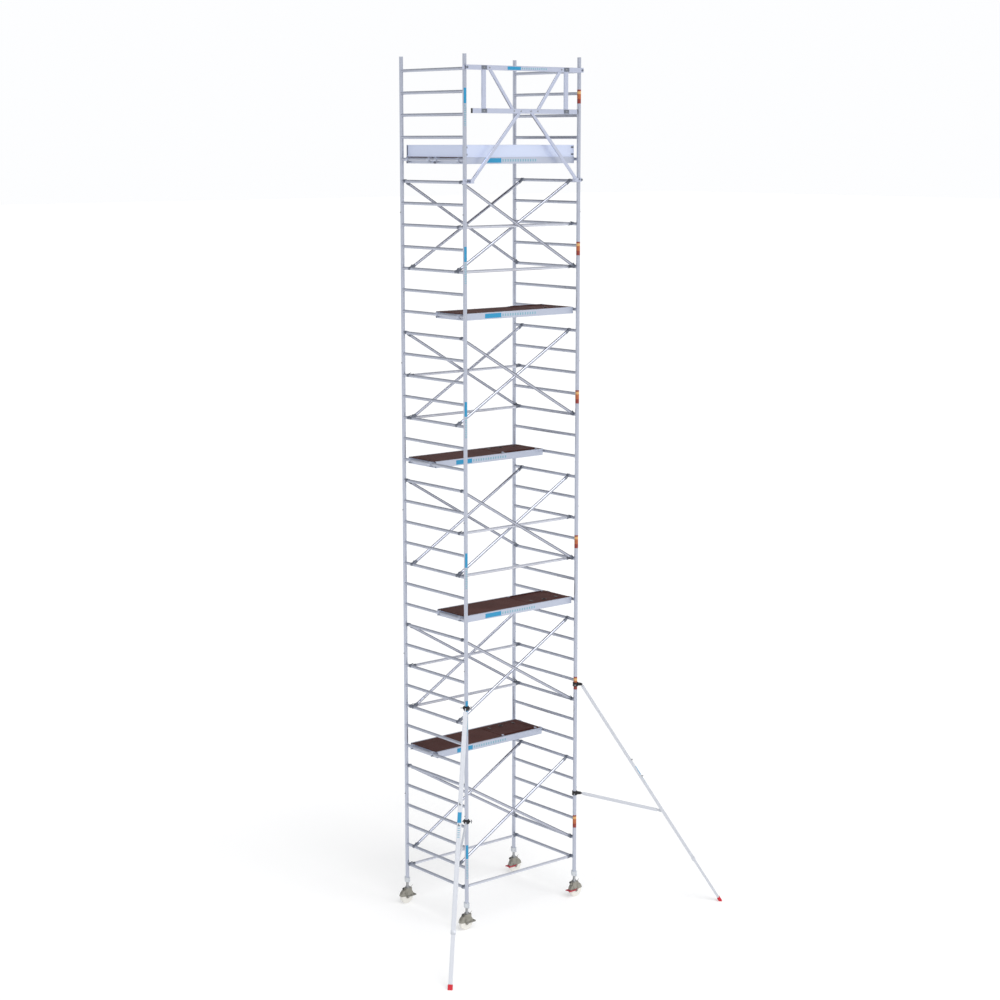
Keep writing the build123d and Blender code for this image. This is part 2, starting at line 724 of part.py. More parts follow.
def brake_pedal(x, y, inward):
    """An arm outside each fork plate, and a foot pad across the wheel between them."""
    axle_x = x - inward * castor_trail
    inside = fork_half + fork_plate + side_gap
    pieces = []
    for face_y in (y + inside + pedal_arm, y - inside):
        with BuildPart() as arm:
            with BuildSketch(Plane(origin=(axle_x, face_y, wheel_r), x_dir=(1, 0, 0), z_dir=(0, -1, 0))):
                Circle(pedal_eye_r)
                with Locations((inward * pedal_reach / 2, 0)):
                    Rectangle(pedal_reach, 2 * pedal_thick)
                Circle(axle_r + axle_gap, mode=Mode.SUBTRACT)
            extrude(amount=pedal_arm)
        pieces.append(arm.part)
    ends = sorted((axle_x + inward * (pedal_reach - pedal_pad), axle_x + inward * pedal_reach))
    pieces.append(plain_box((ends[0], y - inside, wheel_r), (ends[1], y + inside, wheel_r + pedal_thick)))
    return pieces


for corner, (x, y, inward) in corners.items():
    save(adjustable_leg(x, y), f"leg_{corner}")
    save(adjusting_nut(x, y), f"leg_nut_{corner}")
    save_group(castor_fork(x, y, inward), f"castor_fork_{corner}")
    save(castor_wheel(x, y, inward), f"castor_wheel_{corner}")
    save_group(brake_pedal(x, y, inward), f"brake_pedal_{corner}")


# ---- Stabilisers --------------------------------------------------------------------------------------------
class Stabiliser:
    """Places points of one stabiliser: out is the distance from the stile in plan, across is level."""

    def __init__(self, x, y, angle):
        self.x, self.y = x, y
        self.out = (cos(radians(angle)), sin(radians(angle)), 0)
        self.upright = Plane(origin=(x, y, 0), x_dir=self.out, z_dir=(self.out[1], -self.out[0], 0))

    def point(self, out, z):
        return self.x + self.out[0] * out, self.y + self.out[1] * out, z

    def leg_point(self, share):
        """A point on the leg's axis, 0 at the pivot and 1 on the ground."""
        return self.point(pivot_out + leg_run * share, stab_top_z * (1 - share))

    def slab(self, points, width, offset=0.0):
        """A flat plate drawn upright in the stabiliser's plane."""
        with BuildPart() as plate:
            with BuildSketch(self.upright.offset(offset)):
                with BuildLine():
                    Polyline(*points, close=True)
                make_face()
            extrude(amount=width / 2, both=True)
        return plate.part

    def pin(self, out, z, radius, length):
        """A level round bar across the stabiliser's plane."""
        with BuildPart() as bar:
            with BuildSketch(self.upright):
                with Locations((out, z)):
                    Circle(radius)
            extrude(amount=length / 2, both=True)
        return bar.part


def coupler(stabiliser, z):
    """A clamp round the stile with two ears, and the pivot bolt through them."""
    ring_r = stile_r + fit_gap + coupler_wall
    ear_half = eye_thick / 2 + fit_gap + ear_thick
    with BuildPart() as clamp:
        with BuildSketch(level_plane(stabiliser.x, stabiliser.y, z - coupler_height / 2)):
            Circle(ring_r)
        extrude(amount=coupler_height)
        for side in (-1, 1):
            offset = side * (ear_half - ear_thick / 2)
            half = coupler_height / 2 - 4
            tip = pivot_out + eye_r
            outline = [(0, z - half), (pivot_out, z - eye_r), (tip, z - 8), (tip, z + 8), (pivot_out, z + eye_r),
                       (0, z + half)]
            add(stabiliser.slab(outline, ear_thick, offset))
        with BuildSketch(level_plane(stabiliser.x, stabiliser.y, z - coupler_height)):
            Circle(stile_r + fit_gap)
        extrude(amount=2 * coupler_height, mode=Mode.SUBTRACT)
        add(stabiliser.pin(pivot_out, z, bolt_r, 4 * ear_half), mode=Mode.SUBTRACT)
    bolt = stabiliser.pin(pivot_out, z, bolt_r, 2 * ear_half)
    with BuildPart() as heads:
        add(bolt)
        for side in (-1, 1):
            with BuildSketch(stabiliser.upright.offset(side * (ear_half + 3))):
                with Locations((pivot_out, z)):
                    RegularPolygon(1.8 * bolt_r, 6)
            extrude(amount=3, both=True)
    return [clamp.part, heads.part]


def eye_end(stabiliser, start, end, solid_length):
    """A flat eye on a bolt at start, with a plug of solid_length towards end."""
    out, z = start
    length = hypot(end[0] - out, end[1] - z)
    along = ((end[0] - out) / length, (end[1] - z) / length)
    normal = (-along[1], along[0])
    wide = eye_r - 4

    def corner(forward, sideways):
        return out + along[0] * forward + normal[0] * sideways, z + along[1] * forward + normal[1] * sideways

    plate = stabiliser.slab([corner(0, -wide), corner(solid_length, -wide), corner(solid_length, wide),
                             corner(0, wide)], eye_thick)
    with BuildPart() as eye:
        add(plate)
        add(stabiliser.pin(out, z, eye_r, eye_thick))
        add(stabiliser.pin(out, z, bolt_r, 3 * eye_thick), mode=Mode.SUBTRACT)
    return eye.part


def stabiliser_leg(stabiliser):
    """The outer tube with its eye, the arm with its eyes, the arm's bolt and the lock pins."""
    top, foot = (pivot_out, stab_top_z), (stab_reach, 0.0)
    start_share = leg_start / leg_length
    tube = box_tube(stabiliser.leg_point(start_share), stabiliser.leg_point(leg_split), leg_wide, leg_deep, leg_wall)
    plug = box_tube(stabiliser.leg_point(start_share), stabiliser.leg_point(start_share + 30 / leg_length),
                    leg_wide - 2 * leg_wall, leg_deep - 2 * leg_wall, 0, 1.0)
    with BuildPart() as head:
        add(eye_end(stabiliser, top, foot, leg_start))
        add(plug)
    joint = (pivot_out + leg_run * arm_share, stab_top_z * (1 - arm_share))
    off = leg_deep / 2 + eye_r
    knuckle = (joint[0] - off * cos(leg_lean), joint[1] - off * sin(leg_lean))
    clamp_z = (pivot_out, stab_arm_z)
    length = hypot(knuckle[0] - clamp_z[0], knuckle[1] - clamp_z[1])
    ends = [
        (clamp_z[0] + (knuckle[0] - clamp_z[0]) * share, clamp_z[1] + (knuckle[1] - clamp_z[1]) * share)
        for share in (leg_start / length, 1 - leg_start / length)
    ]
    arm = box_tube(stabiliser.point(*ends[0]), stabiliser.point(*ends[1]), arm_wide, arm_deep, arm_wall)
    near_eye = eye_end(stabiliser, clamp_z, knuckle, leg_start + 24)
    far_eye = eye_end(stabiliser, knuckle, clamp_z, leg_start + 24)
    # two ears on the leg's inner side hold the arm's far eye
    along = (sin(leg_lean), -cos(leg_lean))
    normal = (cos(leg_lean), sin(leg_lean))

    def corner(forward, sideways):
        return (joint[0] + along[0] * forward + normal[0] * sideways,
                joint[1] + along[1] * forward + normal[1] * sideways)

    face = -leg_deep / 2
    with BuildPart() as bracket:
        for side in (-1, 1):
            offset = side * (eye_thick / 2 + fit_gap + ear_thick / 2)
            add(stabiliser.slab([corner(-34, face), corner(34, face), corner(12, face - eye_r - 12),
                                 corner(-12, face - eye_r - 12)], ear_thick, offset))
        add(stabiliser.slab([corner(-34, face), corner(34, face), corner(34, face - 3), corner(-34, face - 3)],
                            2 * (eye_thick / 2 + fit_gap + ear_thick)))
        add(stabiliser.pin(*knuckle, bolt_r, 8 * eye_thick), mode=Mode.SUBTRACT)
        add(stabiliser.pin(*knuckle, eye_r + 1, eye_thick + 2 * fit_gap), mode=Mode.SUBTRACT)
    bolt = stabiliser.pin(*knuckle, bolt_r, 2 * (eye_thick / 2 + fit_gap + ear_thick + 4))
    pieces = [tube, head.part, arm, near_eye, far_eye, bracket.part, bolt]
    return pieces


def stabiliser_inner(stabiliser):
    """The inner tube, from inside the outer tube to inside the foot."""
    start = leg_split - inner_overlap / leg_length
    end = 1 - foot_length / 2 / leg_length
    ends = stabiliser.leg_point(start), stabiliser.leg_point(end)
    return box_tube(*ends, inner_wide, inner_deep, leg_wall - 0.5, 2.0)


def stabiliser_foot(stabiliser):
    """A rubber cap over the inner tube's end, cut level with the ground."""
    start, end = 1 - foot_length / leg_length, 1 + foot_length / leg_length
    tube_end = 1 - foot_length / 2 / leg_length
    ground = plain_box((-2 * stab_reach - bay_length, -4 * stab_reach, -500), (2 * stab_reach + bay_length,
                       4 * stab_reach, 0))
    outside = box_tube(stabiliser.leg_point(start), stabiliser.leg_point(end), foot_wide, foot_deep, 0, 2.5)
    inside = box_tube(stabiliser.leg_point(start - 0.01), stabiliser.leg_point(tube_end), inner_wide, inner_deep, 0,
                      2.0)
    return less(outside, inside, ground)


for side, x, angle in (("left", left_x, 180 + stab_turn), ("right", right_x, -stab_turn)):
    stabiliser = Stabiliser(x, near_y, angle)
    save_group([*coupler(stabiliser, stab_top_z), *coupler(stabiliser, stab_arm_z)], f"stabiliser_couplers_{side}")
    save_group(stabiliser_leg(stabiliser), f"stabiliser_leg_{side}")
    save(stabiliser_inner(stabiliser), f"stabiliser_inner_{side}")
    save(stabiliser_foot(stabiliser), f"stabiliser_foot_{side}")
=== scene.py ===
# %% [markdown]
# # A mobile tower scaffold, finished in Blender
# The tower's tubes, platforms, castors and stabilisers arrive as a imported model, already in metres and in
# place. This lesson adds what a drawing office leaves out: finishes, weld beads, rivets, latches, knobs and
# blank labels. Every added piece is a surface worked out with numpy and carried by one of the tower's
# bodies.

# %% Load the tower
import json
import math

import bpy
import numpy as np
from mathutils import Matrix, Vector


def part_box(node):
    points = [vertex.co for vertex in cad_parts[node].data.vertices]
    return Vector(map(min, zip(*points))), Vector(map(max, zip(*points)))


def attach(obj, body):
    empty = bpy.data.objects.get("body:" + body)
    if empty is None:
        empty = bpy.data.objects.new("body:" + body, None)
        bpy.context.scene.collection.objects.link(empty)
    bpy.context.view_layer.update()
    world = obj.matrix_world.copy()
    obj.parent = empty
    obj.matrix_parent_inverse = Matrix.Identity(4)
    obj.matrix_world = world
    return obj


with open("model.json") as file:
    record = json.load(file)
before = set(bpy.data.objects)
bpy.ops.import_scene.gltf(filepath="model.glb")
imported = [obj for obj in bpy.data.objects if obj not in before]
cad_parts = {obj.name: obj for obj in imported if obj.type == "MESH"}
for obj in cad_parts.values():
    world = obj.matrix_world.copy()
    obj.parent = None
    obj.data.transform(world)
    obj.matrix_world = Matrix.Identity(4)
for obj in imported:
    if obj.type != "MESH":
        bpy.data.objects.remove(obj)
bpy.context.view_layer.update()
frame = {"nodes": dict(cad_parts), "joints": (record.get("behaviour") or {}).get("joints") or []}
nodes = frame["nodes"]
joints = {j["name"]: j for j in frame["joints"]}

# %% [markdown]
# ## Where things are
# Castor swivels stand on the stile centres, so their joints give the plan of the four corners. Heights
# follow from the rungs: the lowest rung is 200 mm above the lowest stile end, and they repeat every 280 mm.

# %% The tower's plan and heights
CORNERS = ("front_left", "front_right", "back_left", "back_right")
corner_xy = {c: np.array(joints[f"castor_swivel_{c}"]["pos_m"][:2]) for c in CORNERS}
left_x, near_y = corner_xy["front_left"]
right_x, far_y = corner_xy["back_right"]
half_bay, half_width = (right_x - left_x) / 2, (far_y - near_y) / 2
mid_y = (near_y + far_y) / 2
ENDS = ((left_x, 1), (right_x, -1))  # each end's X, and the sign of inward there
SIDES = ((near_y, 1), (far_y, -1))  # each long side's Y, and the sign of inward there
PITCH = 0.28
LOWEST_RUNG_UP = 0.2
stile_r, rung_r = 0.0254, 0.02
first_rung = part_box("ladder_frame_left_1")[0].z + LOWEST_RUNG_UP
DECK_RUNGS = (6, 13, 20, 27, 34)
TOP_RUNG = 38


def rung_z(number):
    """Height of a rung's centre, counted from 0 at the bottom."""
    return first_rung + number * PITCH


print("bay", round(2 * half_bay, 4), "width", round(2 * half_width, 4), "lowest rung", round(first_rung, 4))

# %% [markdown]
# ## One way to make every solid piece
# Bolts, levers, labels and weld beads could each be modelled by hand, but they are all an outline carried
# along a path. The outline is a ring of points, and each station of the path has a centre, two directions
# and a scale, so the whole surface is one array sum. The two directions and the path are right-handed, so
# faces point outwards.

# %% Outlines
UP = np.array([0.0, 0.0, 1.0])
SIDEWAYS = np.array([0.0, 1.0, 0.0])


def unit(v):
    """The vector divided by its length."""
    v = np.asarray(v, float)
    return v / np.linalg.norm(v)


def round_outline(sides=16):
    """A circle of radius 1: (cos a, sin a) for equal steps of a."""
    a = np.arange(sides) * 2 * np.pi / sides
    return np.stack([np.cos(a), np.sin(a)], 1)


def slab_outline(width, height, corner=0.0008, steps=3):
    """A rectangle with quarter-circle corners: corner centre plus corner radius times (cos a, sin a)."""
    a = np.concatenate([np.linspace(q, q + 90, steps) for q in (0, 90, 180, 270)]) * np.pi / 180
    sx = np.repeat([1, -1, -1, 1], steps) * (width / 2 - corner)
    sy = np.repeat([1, 1, -1, -1], steps) * (height / 2 - corner)
    return np.stack([sx + corner * np.cos(a), sy + corner * np.sin(a)], 1)


print("a slab outline has", len(slab_outline(0.02, 0.01)), "points")


# %% [markdown]
# ## Carrying an outline
# Three helpers cover the shapes here. A loft carries an outline through any stations, a bar carries it
# straight from one point to another and can soften its ends, and a turned shape is a circle whose radius
# changes along an axis, as on a lathe.

# %% Lofts, bars and turned shapes
def loft(outline, centres, u, v, scale=1.0):
    """Point (i, j) is centre i plus scale i times outline j measured along u and v."""
    centres = np.atleast_2d(centres)
    count = len(centres)
    u, v = (np.broadcast_to(np.asarray(d, float), (count, 3)) for d in (u, v))
    scale = np.broadcast_to(np.asarray(scale, float), (count,))[:, None, None]
    spread = outline[None, :, 0, None] * u[:, None] + outline[None, :, 1, None] * v[:, None]
    return centres[:, None] + scale * spread


def across(axis, up=UP):
    """Two directions at right angles to an axis, the first level, in right-handed order with it."""
    w = unit(axis)
    side = np.cross(up, w)
    if np.linalg.norm(side) < 1e-6:
        side = np.array([1.0, 0.0, 0.0])
    u = unit(side)
    return u, np.cross(w, u)


def bar(start, end, outline, soften=0.0, shrink=0.85, up=UP):
    """The outline carried straight from start to end; the first and last soften metres taper to shrink."""
    start, end = np.asarray(start, float), np.asarray(end, float)
    w = unit(end - start)
    u, v = across(w, up)
    if not soften:
        return loft(outline, [start, end], u, v)
    return loft(outline, [start, start + soften * w, end - soften * w, end], u, v, [shrink, 1, 1, shrink])


def turned(start, axis, stations, sides=20):
    """A lathe shape: circles of the stations' radii at the stations' distances along the axis."""
    w = unit(axis)
    u, v = across(w)
    dist, radii = np.array(stations, float).T
    return loft(round_outline(sides), np.asarray(start, float) + dist[:, None] * w, u, v, radii)


print("a turned pin has", turned((0, 0, 0), UP, [(0, 0.01), (0.02, 0.01)]).shape[:2], "stations and points")


# %% [markdown]
# ## Piles of surfaces that become one mesh
# The tower has hundreds of rivets and beads. One object for each would be slow and hard to read, so a pile
# gathers the surfaces of one kind, joins their points into faces with index arithmetic, and makes a single
# mesh of them.

# %% A pile
SHARP = math.radians(35)


class Pile:
    """Collects lofted grids, joins neighbouring points into four-sided faces, and closes their ends."""

    def __init__(self):
        self.points, self.faces, self.count = [], [], 0

    def add(self, grid, ring=False):
        """Adds one grid; a ring's last station joins its first and needs no end faces."""
        rows, cols = grid.shape[:2]
        index = np.arange(rows * cols).reshape(rows, cols) + self.count
        a = index if ring else index[:-1]
        b = np.roll(index, -1, 0) if ring else index[1:]
        quads = np.stack([a, np.roll(a, -1, 1), np.roll(b, -1, 1), b], -1).reshape(-1, 4)
        self.faces += quads.tolist()
        if not ring:
            self.faces += [index[0, ::-1].tolist(), index[-1].tolist()]
        self.points.append(grid.reshape(-1, 3))
        self.count += rows * cols

    def make(self, name, body, material, slot):
        """Builds the mesh, shades it smooth up to 35 degree edges, and hands it to its body."""
        mesh = bpy.data.meshes.new(name)
        mesh.from_pydata(np.concatenate(self.points).tolist(), [], self.faces)
        mesh.shade_smooth()
        mesh.set_sharp_from_angle(angle=SHARP)
        mesh.materials.append(material)
        piece = bpy.data.objects.new(name, mesh)
        bpy.context.scene.collection.objects.link(piece)
        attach(piece, body)
        print(name, "faces", len(self.faces), "on", body)


# %% [markdown]
# ## Finishes
# Real drawn aluminium is not one flat grey: its roughness drifts and a fine grain runs along the tube. A
# noise on Object coordinates gives both, stretched by a Mapping node, and it holds still on the surface.

# %% A finish with grain
GRAIN_HEIGHT = 0.0006


def finish(name, colour, rough, metal=0.0, grain=0.15, size=60.0, stretch=(1, 1, 1), drift=0.08, coat=0.0,
           shine=0.5):
    """A Principled surface whose roughness and height follow a stretched noise."""
    material = bpy.data.materials.new(name)
    material.use_nodes = True
    tree = material.node_tree
    shader = tree.nodes["Principled BSDF"]
    shader.inputs["Base Color"].default_value = (*colour, 1)
    shader.inputs["Metallic"].default_value = metal
    shader.inputs["Coat Weight"].default_value = coat
    shader.inputs["Specular IOR Level"].default_value = shine
    where = tree.nodes.new("ShaderNodeTexCoord")
    mapping = tree.nodes.new("ShaderNodeMapping")
    mapping.inputs["Scale"].default_value = stretch
    noise = tree.nodes.new("ShaderNodeTexNoise")
    noise.inputs["Scale"].default_value = size
    noise.inputs["Detail"].default_value = 4
    spread = tree.nodes.new("ShaderNodeMapRange")
    spread.inputs["To Min"].default_value = rough - drift
    spread.inputs["To Max"].default_value = rough + drift
    bump = tree.nodes.new("ShaderNodeBump")
    bump.inputs["Strength"].default_value = grain
    bump.inputs["Distance"].default_value = GRAIN_HEIGHT
    tree.links.new(where.outputs["Object"], mapping.inputs["Vector"])
    tree.links.new(mapping.outputs["Vector"], noise.inputs["Vector"])
    tree.links.new(noise.outputs["Fac"], spread.inputs["Value"])
    tree.links.new(spread.outputs["Result"], shader.inputs["Roughness"])
    tree.links.new(noise.outputs["Fac"], bump.inputs["Height"])
    tree.links.new(bump.outputs["Normal"], shader.inputs["Normal"])
    return material


# %% [markdown]
# ## Small helpers for node trees
# A finish can be worked on further: found by their kind, its nodes take new links. A second bump goes on
# top of the grain's, by taking the grain's normal as its own starting normal.

# %% Finding nodes, doing sums and adding a bump
def node_of(material, kind):
    """The first node of a kind in a material."""
    return next(n for n in material.node_tree.nodes if n.bl_idname == kind)


def calculate(tree, operation, *values):
    """A Math node; each value is a number or another node's output."""
    node = tree.nodes.new("ShaderNodeMath")
    node.operation = operation
    for socket, value in zip(node.inputs, values):
        if isinstance(value, (int, float)):
            socket.default_value = value
        else:
            tree.links.new(value, socket)
    return node.outputs[0]


def raise_pattern(material, height, strength, distance, keep_grain=True):
    """Adds a bump of the given height signal, on top of the grain unless told otherwise."""
    tree = material.node_tree
    grain_bump = node_of(material, "ShaderNodeBump")
    bump = tree.nodes.new("ShaderNodeBump")
    bump.inputs["Strength"].default_value = strength
    bump.inputs["Distance"].default_value = distance
    tree.links.new(height, bump.inputs["Height"])
    if keep_grain:
        tree.links.new(grain_bump.outputs["Normal"], bump.inputs["Normal"])
    tree.links.new(bump.outputs["Normal"], tree.nodes["Principled BSDF"].inputs["Normal"])


print("helpers ready")

# %% [markdown]
# ## Fluted rungs
# Rungs are fluted so that boots grip them. The flutes run along Y round every rung's own centre, so the
# angle is taken from the rung: X folded about the bay's middle, and Z wrapped at the rung pitch. A mask
# keeps the stiles plain: it is 1 only between them.

# %% Frame aluminium with flutes on the rungs
FLUTES = 18
STILE_MARGIN = 0.004
frame_metal = finish("frame_aluminium", (0.5, 0.53, 0.62), 0.34, 0.85, 0.08, 40, (1, 1, 0.15))
tree = frame_metal.node_tree
split = tree.nodes.new("ShaderNodeSeparateXYZ")
tree.links.new(node_of(frame_metal, "ShaderNodeTexCoord").outputs["Object"], split.inputs[0])
out_x = calculate(tree, "SUBTRACT", calculate(tree, "ABSOLUTE", split.outputs["X"]), float(half_bay))
shifted = calculate(tree, "SUBTRACT", split.outputs["Z"], float(first_rung - PITCH / 2))
out_z = calculate(tree, "SUBTRACT", calculate(tree, "FLOORED_MODULO", shifted, PITCH), PITCH / 2)
angle = calculate(tree, "ARCTAN2", out_z, out_x)
wave = calculate(tree, "SINE", calculate(tree, "MULTIPLY", angle, float(FLUTES)))
off_middle = calculate(tree, "ABSOLUTE", calculate(tree, "SUBTRACT", split.outputs["Y"], float(mid_y)))
between = calculate(tree, "LESS_THAN", off_middle, float(half_width - stile_r - STILE_MARGIN))
raise_pattern(frame_metal, calculate(tree, "MULTIPLY", wave, between), 0.5, 0.0012)
print("flutes", FLUTES)

# %% [markdown]
# ## Film-faced decks
# Scaffold decks are birch ply under a brown phenolic film that is pressed with a fine wire mesh for grip.
# Two band patterns at right angles make the mesh, and a large soft noise keeps the brown from looking
# printed. A Wave texture of scale 1 repeats every tenth of pi, which gives the scale for a chosen spacing.

# %% Pressed mesh and mixed tones
WAVE_PERIOD = math.pi / 10
MESH_SPACING = 0.005


def pressed_mesh(material):
    """Adds crossed bands to the height: each is a wave along one diagonal with the mesh's spacing."""
    tree = material.node_tree
    turn = tree.nodes.new("ShaderNodeMapping")
    turn.inputs["Rotation"].default_value = (0, 0, math.radians(45))
    tree.links.new(node_of(material, "ShaderNodeTexCoord").outputs["Object"], turn.inputs["Vector"])
    bands = []
    for direction in ("X", "Y"):
        wave = tree.nodes.new("ShaderNodeTexWave")
        wave.bands_direction = direction
        wave.inputs["Scale"].default_value = WAVE_PERIOD / MESH_SPACING
        tree.links.new(turn.outputs["Vector"], wave.inputs["Vector"])
        bands.append(wave.outputs["Fac"])
    raise_pattern(material, calculate(tree, "MAXIMUM", *bands), 0.35, 0.0008)
    return material


def two_tones(material, first, second, size=3.0):
    """Mixes two colours by a large soft noise."""
    tree = material.node_tree
    noise = tree.nodes.new("ShaderNodeTexNoise")
    noise.inputs["Scale"].default_value = size
    ramp = tree.nodes.new("ShaderNodeValToRGB")
    for element, place, colour in zip(ramp.color_ramp.elements, (0.3, 0.7), (first, second)):
        element.position = place
        element.color = (*colour, 1)
    tree.links.new(node_of(material, "ShaderNodeTexCoord").outputs["Object"], noise.inputs["Vector"])
    tree.links.new(noise.outputs["Fac"], ramp.inputs["Fac"])
    tree.links.new(ramp.outputs["Color"], tree.nodes["Principled BSDF"].inputs["Base Color"])


# %% [markdown]
# ## Two brown films
# Decks and trapdoors have the same film, but a trapdoor is handled more and is a shade darker. Both take
# the mesh and the tones from the two helpers, and shine only faintly.

# %% Deck film
FILM_BROWN = (0.1, 0.042, 0.037)
deck_film = pressed_mesh(finish("deck_film", FILM_BROWN, 0.55, 0.0, 0.1, 30, shine=0.08))
two_tones(deck_film, (0.066, 0.024, 0.02), (0.088, 0.034, 0.029))
hatch_film = pressed_mesh(finish("hatch_film", FILM_BROWN, 0.55, 0.0, 0.1, 34, shine=0.08))
two_tones(hatch_film, (0.062, 0.022, 0.019), (0.084, 0.032, 0.027))
print("mesh spacing", MESH_SPACING)

# %% [markdown]
# ## Metals
# Extruded beams and boards are mill-finished and a little bluish, castings are darker and coarser, and the
# castor forks are zinc plated, which mottles. The numbers are roughness, metal, grain, the grain's size and
# its stretch.

# %% Aluminium, steel and zinc
brace_metal = finish("brace_aluminium", (0.46, 0.48, 0.56), 0.26, 0.95, 0.06, 50, (0.3, 1, 0.3))
level_metal = finish("level_brace_aluminium", (0.68, 0.7, 0.78), 0.3, 0.8, 0.06, 50, (0.1, 1, 1))
beam_metal = finish("beam_aluminium", (0.52, 0.56, 0.67), 0.4, 0.6, 0.06, 40, (0.1, 1, 1))
board_metal = finish("board_aluminium", (0.67, 0.735, 0.92), 0.42, 0.5, 0.06, 40, (0.1, 1, 1))
guard_metal = finish("guard_aluminium", (0.56, 0.6, 0.74), 0.34, 0.75, 0.06, 40, (0.2, 1, 1))
stab_metal = finish("stabiliser_aluminium", (0.64, 0.66, 0.71), 0.52, 0.45, 0.06, 50)
cast_metal = finish("cast_aluminium", (0.2, 0.22, 0.27), 0.5, 0.7, 0.3, 120)
clip_steel = finish("clip_steel", (0.35, 0.36, 0.38), 0.35, 0.9, 0.1, 90)
stem_steel = finish("stem_steel", (0.5, 0.51, 0.53), 0.35, 0.9, 0.05, 90)
fork_zinc = finish("fork_zinc", (0.33, 0.315, 0.275), 0.42, 0.7, 0.2, 70)
two_tones(fork_zinc, (0.29, 0.28, 0.245), (0.37, 0.355, 0.31), 25.0)
print("materials", len(bpy.data.materials))

# %% [markdown]
# ## Plastics, rubber and label film
# Wheels and nuts are nylon, pedals are painted or plated, and the stabilisers stand on red rubber. Labels
# are smooth printed film, so they have hardly any grain.

# %% Plastics and films
wheel_nylon = finish("wheel_nylon", (0.78, 0.76, 0.71), 0.42, 0.0, 0.1, 60, coat=0.1)
nut_nylon = finish("nut_nylon", (0.66, 0.69, 0.73), 0.4, 0.1, 0.08, 60)
pedal_red = finish("pedal_red", (0.42, 0.012, 0.035), 0.32, 0.0, 0.08, 60, coat=0.3)
pedal_grey = finish("pedal_grey", (0.24, 0.235, 0.21), 0.42, 0.4, 0.15, 60)
coupler_black = finish("coupler_black", (0.022, 0.02, 0.022), 0.42, 0.4, 0.2, 90)
foot_rubber = finish("foot_rubber", (0.6, 0.014, 0.03), 0.55, 0.0, 0.2, 120)
knob_black = finish("knob_black", (0.012, 0.012, 0.013), 0.35, 0.0, 0.08, 90, coat=0.2)
label_blue = finish("label_blue", (0.016, 0.27, 0.5), 0.45, 0.0, 0.02, 60)
label_pale = finish("label_pale", (0.2, 0.42, 0.52), 0.5, 0.0, 0.02, 60)
label_yellow = finish("label_yellow", (0.7, 0.4, 0.15), 0.45, 0.0, 0.02, 60)
label_orange = finish("label_orange", (0.45, 0.12, 0.04), 0.45, 0.0, 0.02, 60)
label_red = finish("label_red", (0.27, 0.03, 0.022), 0.45, 0.0, 0.02, 60)
print("materials", len(bpy.data.materials))

# %% [markdown]
# ## The stems' thread
# An adjustable leg has a coarse rolled thread that moves 8 mm in a turn. Modelling it would cost thousands
# of faces on each leg, so triangular bands along Z stand for it as bump.

# %% Thread
THREAD = 0.008
thread = stem_steel.node_tree.nodes.new("ShaderNodeTexWave")
thread.bands_direction = "Z"
thread.wave_profile = "TRI"
thread.inputs["Scale"].default_value = WAVE_PERIOD / THREAD
stem_where = node_of(stem_steel, "ShaderNodeTexCoord")
stem_steel.node_tree.links.new(stem_where.outputs["Object"], thread.inputs["Vector"])
raise_pattern(stem_steel, thread.outputs["Fac"], 0.9, 0.002, keep_grain=False)
print("thread every", THREAD)

# %% [markdown]
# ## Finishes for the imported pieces
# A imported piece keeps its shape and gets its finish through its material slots. Its name says which one:
# the first line of the list that starts the name wins, so longer names stand before shorter ones.

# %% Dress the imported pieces
DRESS = (
    ("ladder_frame", frame_metal),
    ("frame_clips", clip_steel),
    ("diagonal_braces", brace_metal),
    ("horizontal_braces", level_metal),
    ("brace_hooks", cast_metal),
    ("toe_boards", board_metal),
    ("guardrail_frame", guard_metal),
    ("platform_decks", deck_film),
    ("platform_frame", beam_metal),
    ("trapdoor", hatch_film),
    ("leg_nut", nut_nylon),
    ("leg_", stem_steel),
    ("castor_fork", fork_zinc),
    ("castor_wheel", wheel_nylon),
    ("brake_pedal_front_left", pedal_grey),
    ("brake_pedal_back_left", pedal_grey),
    ("brake_pedal", pedal_red),
    ("stabiliser_couplers", coupler_black),
    ("stabiliser_foot", foot_rubber),
    ("stabiliser", stab_metal),
)
for name, node in nodes.items():
    chosen = next(material for start, material in DRESS if name.startswith(start))
    for holder in node.material_slots:
        holder.material = chosen
print("dressed", len(nodes))

# %% [markdown]
# ## Weld beads
# Each rung is welded all round where it meets a stile. The two tubes meet on a saddle curve: at angle a the
# rung's point is (r cos a, r sin a), and the stile's wall there stands at the square root of R squared
# minus that X squared. The bead is a thin ring carried along this curve.

# %% Saddle-shaped weld beads
BEAD = 0.0028
a = np.arange(20) * 2 * np.pi / 20
wall = np.sqrt(stile_r**2 - (rung_r * np.cos(a)) ** 2)
saddle = np.stack([rung_r * np.cos(a), wall, rung_r * np.sin(a)], 1)
outward = np.stack([np.cos(a), np.zeros_like(a), np.sin(a)], 1)
for side, x in (("left", left_x), ("right", right_x)):
    beads = Pile()
    for number in range(TOP_RUNG + 1):
        for y, inward in SIDES:
            centres = saddle * [1, inward, 1] + [x, y, rung_z(number)]
            beads.add(loft(round_outline(6), centres, outward, SIDEWAYS, BEAD), ring=True)
    beads.make(f"weld_beads_{side}", "tower", frame_metal, "frame_aluminium")

# %% [markdown]
# ## Where the braces end
# Each lift has a pair of crossed diagonals on both long sides. From the second lift up, the far side and
# the near side in turn also have two level braces, one above the other. All of them hang on the rungs in
# lanes 50 mm apart, so that their hooks don't meet. Two more level braces tie the lowest rungs together.

